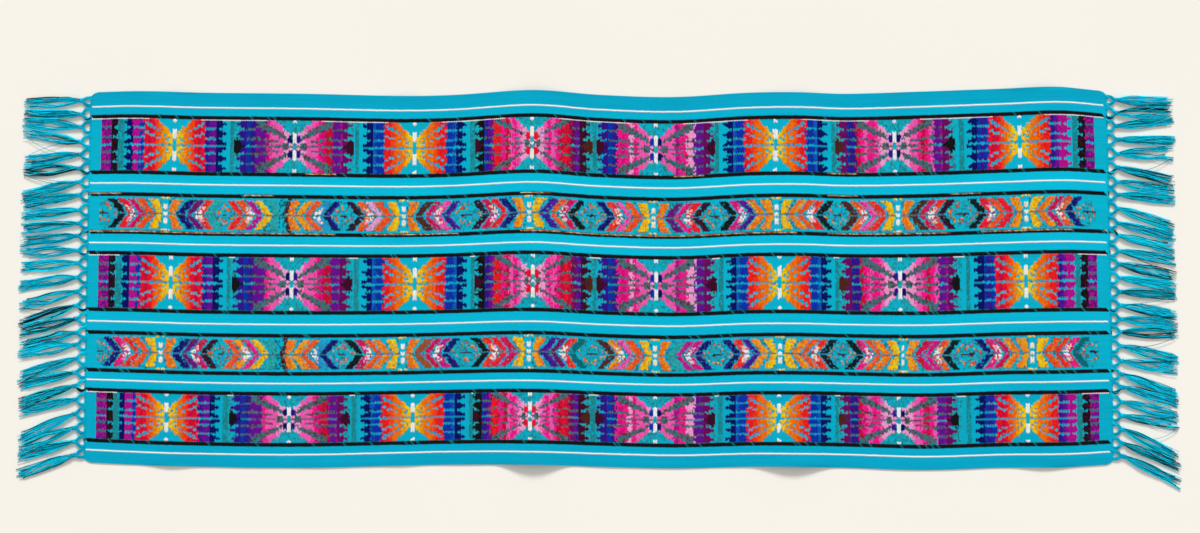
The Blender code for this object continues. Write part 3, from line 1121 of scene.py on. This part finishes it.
def body_yarn(away, down, band, chance):
    """White dots down the body, with a cream and yellow group at each end."""
    share = (down - band.far) / (band.near - band.far)
    if share < 0.045 or share > 0.96:
        if away > 0.0085 or chance.random() < 0.30:
            return None
        return "cream" if away < 0.0032 else "yellow"
    for spot, reach in BODY_DOTS:
        if abs(share - spot) < reach and away < 0.0031:
            return "cream" if chance.random() < 0.3 else "white"
    return None


def crescent_yarn(away, rise, chance):
    """The dark crescent beside a figure that was worked without its white body."""
    inner = ARMS[0].inner + (ARMS[0].inner_end - ARMS[0].inner) * rise / ARM_RISE
    if inner - CRESCENT_WIDTH < away < inner and chance.random() < 0.85:
        return chance.choice(("brown", "slate", "maroon", "brown"))
    return chance.choice((None, None, None, "teal")) if abs(away) < 0.010 else None


def narrow_band(band, seed, feathers, shifts, bare=1):
    """bare is the number of the figure that was worked without its white body."""
    chance = random.Random(seed)
    stitches = []
    middle = (band.far + band.near) / 2
    places = shifted(NARROW_PLACES, shifts)
    for along, down in brick_places(band):
        number = nearest(places, along)
        away = along - places[number]
        left, right = feathers[number]
        names = (right if away > 0 else left).split()
        direction = 1 if away > 0 else -1
        away = abs(away)
        rise = abs(down - middle) + chance.uniform(-0.0006, 0.0006)
        arm, across = arm_at(away + chance.uniform(-0.0016, 0.0016), rise)
        spot = (along, down, band, chance)
        body = body_yarn(away, down, band, chance)
        if number == bare:
            body = crescent_yarn(away * direction, rise, chance)
        lean = -ARM_LEAN * direction if down > middle else ARM_LEAN * direction
        if body is not None:
            stitches.append(float_stitch(body, *spot))
        elif rise < MIDDLE_LINE and away > 0.006:
            if chance.random() < 0.85 and away < 0.100:
                stitches.append(loose_stitch(chance.choice(("slate", "smoke", "sky")), *spot))
            elif away > 0.107:
                stitches.append(loose_stitch("maroon", *spot))
        elif arm is not None and chance.random() < ARM_FILL:
            name = feather_yarn(names, arm, across, away, rise, chance)
            stitches.append(float_stitch(name, *spot, lean, ARM_SPREAD))
        elif away > DIAMOND_FROM:
            speck = diamond_yarn(DIAMOND_MIDDLE - away, rise, chance)
            if speck is not None:
                stitches.append(float_stitch(speck, *spot))
        elif rise < ARM_RISE + 0.002 and away > 0.006 and chance.random() < 0.45:
            stitches.append(loose_stitch(chance.choice(("sky", "teal", "sea", "slate")), *spot))
    return stitches


LOWER_SHIFTS = (-5, -3, 0, 1, 2, 5, 6, 8)
upper_band = narrow_band(BANDS[1], 21, UPPER_FEATHERS, (0,) * 8)
lower_band = narrow_band(BANDS[3], 23, LOWER_FEATHERS, LOWER_SHIFTS)
brocades.append(lay_band(BANDS[1], upper_band))
brocades.append(lay_band(BANDS[3], lower_band))

# %% [markdown]
# ## One strand, bent many times
#
# The fringe is the cloth's own warp, so it is made of yarns: from the cloth's end they part in legs, run on
# to the next row, are tied in a knot and hang loose as a tassel. One straight strand is modelled: a
# five-sided cylinder, cut into short lengths. Copies of it are then bent along smooth paths, ring by ring.

# %% The strand
STRAND_RINGS = 10
STRAND_SIDES = 5


def model_strand():
    deselect_all()
    bpy.ops.mesh.primitive_cylinder_add(vertices=STRAND_SIDES, radius=1, depth=1, end_fill_type="NGON")
    strand = active()
    bpy.ops.object.mode_set(mode="EDIT")
    bpy.ops.mesh.select_mode(type="EDGE")
    bpy.ops.mesh.select_all(action="DESELECT")
    bpy.ops.object.mode_set(mode="OBJECT")
    points = strand.data.vertices
    for edge in strand.data.edges:
        first, second = (points[number].co.z for number in edge.vertices)
        edge.select = abs(first - second) > 0.5
    bpy.ops.object.mode_set(mode="EDIT")
    bpy.ops.mesh.subdivide(number_cuts=STRAND_RINGS - 2)
    bpy.ops.object.mode_set(mode="OBJECT")
    return finish_object(strand, "strand_pattern", None)


def pattern_pairs(pattern):
    """The pattern's own UV map, one pair for each face corner."""
    return read(pattern.data.uv_layers[0].data, "uv", width=2)


strand = model_strand()
print("strand:", len(strand.data.vertices), "points,", len(strand.data.polygons), "faces")


# %% Bending strands along smooth paths
def smooth_paths(points, rings):
    """A smooth curve through the points of each path, read at as many places as the strand has rings."""
    count = points.shape[1]
    place = np.linspace(0, count - 1, rings)
    start = np.minimum(place.astype(int), count - 2)
    t = (place - start)[None, :, None]
    before = 2 * points[:, :1] - points[:, 1:2]
    after = 2 * points[:, -1:] - points[:, -2:-1]
    full = np.concatenate((before, points, after), axis=1)
    a, b, c, d = (full[:, start + step] for step in range(4))
    bend = (2 * a - 5 * b + 4 * c - d) * t**2 + (3 * b - a - 3 * c + d) * t**3
    return 0.5 * (2 * b + (c - a) * t + bend)


def unit(vectors):
    return vectors / np.linalg.norm(vectors, axis=-1, keepdims=True)


def bent_strands(name, paths, radii, colours, material):
    shape = pattern_points(strand)
    ring = np.rint((shape[:, 2] + 0.5) * (STRAND_RINGS - 1)).astype(int)
    ahead = unit(np.gradient(paths, axis=1))
    beside = unit(np.cross(ahead, (0.0, 0.0, 1.0)))
    over = np.cross(ahead, beside)
    around = shape[None, :, :1] * beside[:, ring] + shape[None, :, 1:2] * over[:, ring]
    points = paths[:, ring] + around * radii[:, None, None]
    return joined_copies(name, strand, points, colours, material)


# %% [markdown]
# ## The knots
#
# A tied bundle shows two wraps that cross on top. So a knot is two rings, turned against each other, and
# flattened a little because it lies on the floor. The small ties along the cloth's end are plain beads.


# %% Knot and tie
def flatten(sizes, turn=0.0):
    """Resizes the active object's points about its middle, and turns them."""
    bpy.ops.object.mode_set(mode="EDIT")
    bpy.ops.mesh.select_all(action="SELECT")
    bpy.ops.transform.resize(value=sizes, center_override=(0, 0, 0))
    if turn:
        bpy.ops.transform.rotate(value=turn, orient_axis="Z", center_override=(0, 0, 0))
    bpy.ops.object.mode_set(mode="OBJECT")


def model_knot():
    deselect_all()
    rings = []
    for turn in (1, -1):
        bpy.ops.mesh.primitive_torus_add(
            major_segments=12,
            minor_segments=6,
            major_radius=0.0036,
            minor_radius=0.0020,
            rotation=(0, math.radians(90), math.radians(28 * turn)),
            generate_uvs=True,
        )
        rings.append(active())
    deselect_all()
    for ring in rings:
        ring.select_set(True)
    bpy.context.view_layer.objects.active = rings[0]
    bpy.ops.object.join()
    bpy.ops.object.transform_apply(location=True, rotation=True, scale=True)
    flatten((1.0, 1.0, 0.55))
    return finish_object(rings[0], "knot_pattern", None)


def model_tie():
    deselect_all()
    bpy.ops.mesh.primitive_uv_sphere_add(segments=6, ring_count=5, radius=0.5)
    tie = active()
    flatten((1.0, 1.2, 0.8), math.radians(25))
    return finish_object(tie, "tie_pattern", None)


knot = model_knot()
tie = model_tie()
print("knot faces:", len(knot.data.polygons), "tie faces:", len(tie.data.polygons))

# %% [markdown]
# ## The finish of the fringe
#
# These yarns are loose and plied, so their finish follows the yarn: a UV map named strand counts turns
# around it and metres along it, and a slanted wave on that map raises the twist. The same wave also paints
# shade into the grooves between the plies and a highlight onto their crests. Each yarn keeps its colour.

# %% Fringe yarn
TWIST_PITCH = 0.0042


def fringe_yarn():
    material, shader = new_material("loose_yarn", 0.8, 0.0)
    own = add_node(material, "ShaderNodeAttribute", {"attribute_name": "yarn"}).outputs["Color"]
    place = add_node(material, "ShaderNodeUVMap", {"uv_map": "strand"}).outputs["UV"]
    parts = add_node(material, "ShaderNodeSeparateXYZ", None, Vector=place)
    turns = calculate(material, "MULTIPLY_ADD", parts.outputs["Y"], 1 / TWIST_PITCH, parts.outputs["X"])
    ply = calculate(material, "SINE", calculate(material, "MULTIPLY", turns, 4 * math.pi))
    fibres = stretched_noise(material, place, (6.0, 260.0, 1.0), 2.0)
    # Painted shade and highlight: the twist wave darkens the grooves between the plies and lightens their
    # crests.
    ply_shade_and_highlight = rescaled(material, ply, (-1.0, 1.0), (0.80, 1.22))
    fleck = rescaled(material, fibres, (0.3, 0.7), (0.88, 1.16))
    paint(material, shader, own, calculate(material, "MULTIPLY", ply_shade_and_highlight, fleck))
    emboss(material, shader, ply, 0.6, 0.0003)
    return material


loose_yarn = fringe_yarn()

# %% [markdown]
# ## Where the knots and the tips lie
#
# The fringe repeats the solid's own rule: 27 knots an even pitch apart, each a little off its place, and
# tassels whose tips are drawn together in bunches and lean to one side, as they fell when the shawl was laid
# out. A place is given by `out`, from the cloth's end, and `down`, from the far selvedge.

# %% Knots and tips
TASSELS = 27
FIRST_KNOT = 0.0155
KNOT_OUT = 0.0195
KNOT_WOBBLE = 0.0018
END_STEM = 0.0095
LOCK_LENGTH = 0.104
BUNCH_PULL = 0.70
Bunch = namedtuple("Bunch", "tassels lean")


def leaning(rows):
    """Bunches of so many tassels, whose tips lean by so many millimetres."""
    return [Bunch(tassels, lean / 1000) for tassels, lean in rows]


LEFT_BUNCHES = leaning(
    ((4, -5), (2, 9), (3, 18), (1, 9), (2, 8), (1, 9), (1, 17), (1, 26), (2, 31), (2, 21), (2, 28), (2, 27),
     (3, 38), (1, 37))
)
RIGHT_BUNCHES = leaning(
    ((3, -3), (1, 2), (1, -1), (3, 17), (2, 31), (2, 23), (2, 19), (1, 6), (3, 11), (2, 21), (2, 35), (2, 22),
     (2, 47), (1, 51))
)


def knot_places(seed):
    """Out and down of each knot, with the same chance as on the solid."""
    chance = random.Random(seed)
    pitch = (WIDTH - 2 * FIRST_KNOT) / (TASSELS - 1)
    places = []
    for number in range(TASSELS):
        out = KNOT_OUT + chance.uniform(-KNOT_WOBBLE, KNOT_WOBBLE)
        down = FIRST_KNOT + number * pitch + chance.uniform(-KNOT_WOBBLE, KNOT_WOBBLE)
        places.append(Vector((out, down)))
    return places


def tip_places(bunches, knots):
    tips = []
    for bunch in bunches:
        members = knots[len(tips) : len(tips) + bunch.tassels]
        middle = sum(place.y for place in members) / len(members)
        for place in members:
            down = middle + (place.y - middle) * BUNCH_PULL + bunch.lean
            tips.append(Vector((place.x + LOCK_LENGTH, down)))
    return tips


def fringe_point(end, table):
    """Places in the frame of (out, down, height) rows. End is -1 for the left end and 1 for the right."""
    out, down, height = table[..., 0], table[..., 1], table[..., 2]
    along = np.full(down.shape, 0.0 if end < 0 else LENGTH)
    x = end * (end_place(down) + out) + SHIFT_X
    y = side_place(along, down) + SHIFT_Y
    return np.stack((x, y, height), axis=-1)


# %% [markdown]
# ## The net and the tassels
#
# Between two knots a bundle leaves the cloth and parts, and each half runs to one of the knots, which leaves
# the open ovals along the cloth. Past the knot the yarns fan out to a blunt tip, some around a gap. Where a
# black line of the cloth ends, its yarns go on into the fringe.

# %% Net strands
LEG_YARNS = 8
LEG_TURNS = 0.7
YARN_RADIUS = 0.00088
BLACK_HALF = 0.0024
BLACK_CHANCE = 0.7
Stage = namedtuple("Stage", "out share height spread thick")
LEG_STAGES = (
    Stage(-0.0010, 0.28, 0.0013, 0.0044, 0.0002),
    Stage(0.0036, 0.25, 0.0024, 0.0027, 0.0009),
    Stage(0.0080, 0.32, 0.0030, 0.0026, 0.0013),
    Stage(0.0120, 0.56, 0.0031, 0.0025, 0.0014),
    Stage(0.0152, 0.84, 0.0031, 0.0023, 0.0014),
    Stage(0.0200, 0.95, 0.0034, 0.0014, 0.0013),
)


def warp_colour(down, chance):
    """The yarn that the cloth's warp has at a place."""
    if min(abs(down - line) for line in BLACK_LINES) < BLACK_HALF and chance.random() < BLACK_CHANCE:
        return shade("black", chance, 0.1)
    return shade(chance.choice(("light_turquoise", "turquoise", "turquoise", "ground")), chance, 0.20)


def leg_strands(stem, goal, chance):
    """The twisted yarns of one leg, from the cloth's end to a knot."""
    out, share, height, spread, thick = np.array(LEG_STAGES).T
    centre = np.stack((out, stem + (goal.y - stem) * share, height), axis=-1)
    centre[-1, 0] = goal.x + 0.0005
    ahead = unit(np.gradient(centre, axis=0))
    beside = unit(np.cross(ahead, (0.0, 0.0, 1.0)))
    phase = chance.uniform(0, 2 * math.pi)
    strands = []
    twist = LEG_TURNS * np.linspace(0, 1, len(centre))
    for number in range(LEG_YARNS):
        turn = phase + 2 * math.pi * (number / (LEG_YARNS - 1) + twist)
        reach = 0.15 if number == LEG_YARNS - 1 else 1.0
        path = centre + beside * (np.cos(turn) * spread * reach)[:, None]
        path[:, 2] += np.sin(turn) * thick * reach
        strands.append((path.tolist(), YARN_RADIUS, warp_colour(path[0, 1], chance)))
    return strands


def net_strands(knots, chance):
    """Rows of (path, radius, colour) from the cloth's end to the knots."""
    halfway = [(a.y + b.y) / 2 for a, b in zip(knots, knots[1:])]
    stems = [END_STEM, *halfway, WIDTH - END_STEM]
    strands = []
    for number, stem in enumerate(stems):
        for at in (number - 1, number):
            if 0 <= at < TASSELS:
                strands += leg_strands(stem, knots[at], chance)
    return strands


# %% Tassel strands
Station = namedtuple("Station", "share half_width height")
STATIONS = (
    Station(0.03, 0.0024, 0.0034),
    Station(0.13, 0.0058, 0.0026),
    Station(0.32, 0.0086, 0.0018),
    Station(0.55, 0.0094, 0.0014),
    Station(0.79, 0.0100, 0.0012),
    Station(1.00, 0.0110, 0.0011),
)
SHARES = np.array([station.share for station in STATIONS])
TASSEL_YARNS = 18
FINE_YARNS = 4
THIN_TASSELS = {-1: (3, 11), 1: (23,)}
DARK_TASSELS = {-1: (5, 16), 1: (12,)}
FORKED_TASSELS = {-1: (), 1: (4,)}
LAYER_HEIGHT = 0.0012
STRAY_YARNS = 16
STRAY_RADIUS = 0.00048
TASSEL_MIX = (
    ("light_turquoise", 64),
    ("turquoise", 18),
    ("ground", 4),
    ("deep_turquoise", 4),
    ("teal", 10),
)


def tassel_colour(number, knots, end, chance):
    """Mostly turquoise. A tassel near a black line takes some of its black yarns."""
    close = min(abs(knots[number].y - line) for line in BLACK_LINES) < 0.011
    dark = 0.34 if number in DARK_TASSELS[end] else 0.15 if close else 0.05
    if chance.random() < dark:
        return shade("black", chance, 0.2)
    names, weights = zip(*TASSEL_MIX)
    return shade(chance.choices(names, weights)[0], chance, 0.28)


def free_half(knots, tips, number, station):
    """How far a tassel may spread at a station before it meets its neighbour."""
    middles = [start.lerp(tip, station.share).y for start, tip in zip(knots, tips)]
    beside = middles[max(number - 1, 0) : number] + middles[number + 1 : number + 2]
    nearest = min(abs(middles[number] - other) for other in beside)
    return min(station.half_width, nearest / 2 + 0.0004)


def tassel_strands(knots, tips, end, chance):
    """Loose yarns that fan out, sway, cross each other and part around a lens-shaped gap."""
    strands = []
    for number, (start, tip) in enumerate(zip(knots, tips)):
        halves = np.array([free_half(knots, tips, number, station) for station in STATIONS])
        thick = TASSEL_YARNS - 5 * (number in THIN_TASSELS[end])
        gap = chance.choice((0.0, 0.15, 0.30, 0.45))
        gap_place = chance.uniform(-0.35, 0.35)
        reach = 1 + chance.uniform(-0.03, 0.015)
        gap_share = chance.uniform(0.32, 0.60)
        lens = gap * np.exp(-(((SHARES - gap_share) / 0.24) ** 2))
        for yarn_number in range(thick + FINE_YARNS):
            fine = yarn_number >= thick
            place = chance.uniform(-1, 1) if fine else -1 + (2 * yarn_number + 1) / thick
            length = reach + chance.uniform(-0.13, 0.04)
            wander = chance.uniform(-0.26, 0.26) * np.sin(chance.uniform(0, 6) + 8 * SHARES)
            drift = chance.uniform(-0.45, 0.45) * (SHARES - 0.4)
            across = place + (wander + drift) * (2.0 if fine else 1.0)
            across = np.clip(across, -1.05, 1.05)
            side_of_gap = 1 if place > gap_place else -1
            across = across + side_of_gap * lens * (1.1 - 0.6 * abs(place - gap_place))
            fork = 0.004 * (1 if place > 0 else -1) * (number in FORKED_TASSELS[end])
            layer = LAYER_HEIGHT * (2 if fine else yarn_number % 2)
            path = []
            for station, half, offset in zip(STATIONS, halves, across):
                middle = start.lerp(tip, station.share * length)
                down = middle.y + offset * half * 0.92 + fork * station.share
                height = station.height + layer + chance.uniform(0, 0.0003)
                path.append((middle.x, down, height))
            radius = STRAY_RADIUS if fine else YARN_RADIUS * chance.uniform(0.70, 1.20)
            strands.append((path, radius, tassel_colour(number, knots, end, chance)))
    return strands


def stray_strands(knots, tips, chance):
    """Single thin yarns that lie in a loop across to a neighbouring tassel."""
    strands = []
    for _ in range(STRAY_YARNS):
        number = chance.randrange(1, TASSELS - 1)
        other = number + chance.choice((-1, 1))
        loop = chance.uniform(0.000, 0.006) * chance.choice((-1, 1))
        path = []
        for share in (0.08, 0.28, 0.48, 0.68, 0.86, 0.98):
            own = knots[number].lerp(tips[number], share)
            beside = knots[other].lerp(tips[other], share)
            middle = own.lerp(beside, share**1.6 * 0.9)
            path.append((middle.x, middle.y + loop * math.sin(math.pi * share), 0.0042))
        name = chance.choice(("turquoise", "turquoise", "deep_turquoise", "teal", "black"))
        strands.append((path, STRAY_RADIUS, shade(name, chance, 0.15)))
    return strands


# %% [markdown]
# ## Putting a fringe together
#
# Strands, knots and ties are three joined meshes, which are then joined into one piece for each end. Before
# that, each copy gets a cell of its own in the exported picture, so that its colour isn't painted over.


# %% Cells for the exported picture
Cells = namedtuple("Cells", "columns low high")
KNOT_CELLS = Cells(9, 0.0, 0.08)
TIE_CELLS = Cells(58, 0.08, 0.16)
STRAND_CELLS = Cells(40, 0.16, 1.0)


def cell_map(obj, pairs, count, cells):
    """Gives each copy its own cell of a grid between two heights of the picture."""
    rows = math.ceil(count / cells.columns)
    number = np.arange(count)
    cell = np.stack((number % cells.columns, number // cells.columns), axis=-1)[:, None]
    shares = (cell + pairs[None] * 0.8 + 0.1) / (cells.columns, rows)
    shares[..., 1] = cells.low + shares[..., 1] * (cells.high - cells.low)
    set_uv(obj.data, "OFBake", shares.reshape(-1, 2))


def strand_piece(name, strands, end):
    controls = np.array([path for path, _, _ in strands])
    paths = smooth_paths(fringe_point(end, controls), STRAND_RINGS)
    radii = np.array([radius for _, radius, _ in strands])
    colours = np.array([colour for _, _, colour in strands])
    obj = bent_strands(name, paths, radii, colours, loose_yarn)
    pairs = pattern_pairs(strand)
    caps = pairs[:, 1] < 0.499
    room = pairs.copy()
    room[:, 1] = np.where(caps, pairs[:, 1] * 0.2, 0.12 + (pairs[:, 1] - 0.5) * 1.76)
    cell_map(obj, room, len(strands), STRAND_CELLS)
    lengths = np.linalg.norm(np.diff(paths, axis=1), axis=-1).sum(axis=1)
    turns = np.broadcast_to(pairs[None, :, 0], (len(strands), len(pairs)))
    metres = (pairs[None, :, 1] - 0.5) * 2 * lengths[:, None]
    set_uv(obj.data, "strand", np.stack((turns, metres), axis=-1).reshape(-1, 2))
    return obj


def copied_piece(name, pattern, places, turns, sizes, colours, cells):
    """Copies of a knot or a tie, each turned about its middle."""
    shape = pattern_points(pattern)[None] * sizes[:, None, :]
    cos, sin = np.cos(turns)[:, None], np.sin(turns)[:, None]
    x = shape[..., 0] * cos - shape[..., 1] * sin
    y = shape[..., 0] * sin + shape[..., 1] * cos
    points = places[:, None] + np.stack((x, y, shape[..., 2]), axis=-1)
    obj = joined_copies(name, pattern, points, colours, loose_yarn)
    pairs = pattern_pairs(pattern)
    cell_map(obj, pairs, len(places), cells)
    around = np.tile(pairs[:, ::-1] * (1.0, 0.024), (len(places), 1))
    set_uv(obj.data, "strand", around)
    return obj


# %% Both fringes
KNOT_MIDDLE = 0.0031
TIE_PITCH = 0.0030
TIE_SIZE = (0.0030, 0.0028, 0.0026)
TIE_OUT = 0.0008
TIE_MIDDLE = 0.0014
YARN_SEED = 100


def make_fringe(name, end, bunches, seed):
    knots = knot_places(seed)
    tips = tip_places(bunches, knots)
    chance = random.Random(YARN_SEED + seed)
    strands = net_strands(knots, chance)
    strands += tassel_strands(knots, tips, end, chance)
    strands += stray_strands(knots, tips, chance)
    parts = [strand_piece(name, strands, end)]

    table = np.array([(place.x, place.y, KNOT_MIDDLE) for place in knots])
    leans = np.array([(tip.y - place.y) / LOCK_LENGTH for place, tip in zip(knots, tips)])
    sizes = np.array([[chance.uniform(1.4, 1.7), chance.uniform(0.78, 0.90), 1.05] for _ in knots])
    colours = np.array([shade(chance.choice(("turquoise", "deep_turquoise")), chance) for _ in knots])
    turns = -end * leans * 0.6
    places = fringe_point(end, table)
    parts.append(copied_piece(name + "_knots", knot, places, turns, sizes, colours, KNOT_CELLS))

    count = int((WIDTH - 2 * CORNER_RADIUS) / TIE_PITCH)
    downs = [CORNER_RADIUS + TIE_PITCH * (number + 0.5) for number in range(count)]
    table = np.array([(TIE_OUT, down, TIE_MIDDLE) for down in downs])
    colours = np.array([warp_colour(down, chance) for down in downs])
    turns = np.array([chance.uniform(-0.2, 0.2) for _ in downs])
    places = fringe_point(end, table)
    sizes = np.tile(TIE_SIZE, (count, 1))
    parts.append(copied_piece(name + "_ties", tie, places, turns, sizes, colours, TIE_CELLS))

    deselect_all()
    for part in parts:
        part.select_set(True)
    bpy.context.view_layer.objects.active = parts[0]
    bpy.ops.object.join()
    print(name, "strands:", len(strands), "faces:", len(parts[0].data.polygons))
    return parts[0]


fringe_left = make_fringe("fringe_left_yarn", -1, LEFT_BUNCHES, 3)
fringe_right = make_fringe("fringe_right_yarn", 1, RIGHT_BUNCHES, 8)

# %% [markdown]
# ## Floor and light
#
# The shawl lies on a plain cream floor. A broad low light from the far side gives the soft shadow along the
# near selvedge, and an even sky lights everything else, so that the colours stay clear and flat.

# %% Floor
FLOOR_DROP = 0.0004


def cream_floor():
    material, shader = new_material("cream_floor", 0.9, 0.0)
    place = add_node(material, "ShaderNodeTexCoord")
    noise = add_node(
        material, "ShaderNodeTexNoise", None, Vector=place.outputs["Object"], Scale=1.4, Detail=2.0
    )
    ramp = add_node(material, "ShaderNodeValToRGB", None, Fac=noise.outputs["Fac"])
    ramp.color_ramp.elements[0].color = (*linear((247, 242, 232)), 1.0)
    ramp.color_ramp.elements[1].color = (*linear((250, 245, 236)), 1.0)
    link(material, ramp.outputs["Color"], shader.inputs["Base Color"])
    return material


deselect_all()
bpy.ops.mesh.primitive_plane_add(size=24, location=(0, 0, -FLOOR_DROP))
floor = finish_object(active(), "floor", cream_floor())

# %% Lights
SUN_TILT = 58
SUN_STRENGTH = 2.6
SUN_SOFTNESS = 16
SKY_STRENGTH = 0.56

sun_data = bpy.data.lights.new("low_light", "SUN")
sun_data.energy = SUN_STRENGTH
sun_data.angle = math.radians(SUN_SOFTNESS)
sun = bpy.data.objects.new("low_light", sun_data)
sun.rotation_euler = (math.radians(-SUN_TILT), 0, 0)
bpy.context.scene.collection.objects.link(sun)

sky = bpy.data.worlds.new("studio_sky")
sky.use_nodes = True
sky.node_tree.nodes["Background"].inputs["Color"].default_value = (1.0, 1.0, 1.0, 1.0)
sky.node_tree.nodes["Background"].inputs["Strength"].default_value = SKY_STRENGTH
bpy.context.scene.world = sky
bpy.context.scene.view_settings.view_transform = "Standard"
print("lights:", sun.name, sky.name)

# %% [markdown]
# ## Handing the pieces over
#
# The patterns have done their work and are removed. Each piece then rides on the shawl's one body, and the
# three solids are hidden, so that the pieces stand for them.

# %% Pieces
for pattern in (stitch, strand, knot, tie):
    bpy.data.objects.remove(pattern, do_unlink=True)

woven = [cloth, white_lines, black_lines, *brocades]
tied = [fringe_left, fringe_right]
for piece in woven:
    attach(piece, "root")
for piece in tied:
    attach(piece, "root")
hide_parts("cloth")
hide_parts("fringe_left")
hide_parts("fringe_right")
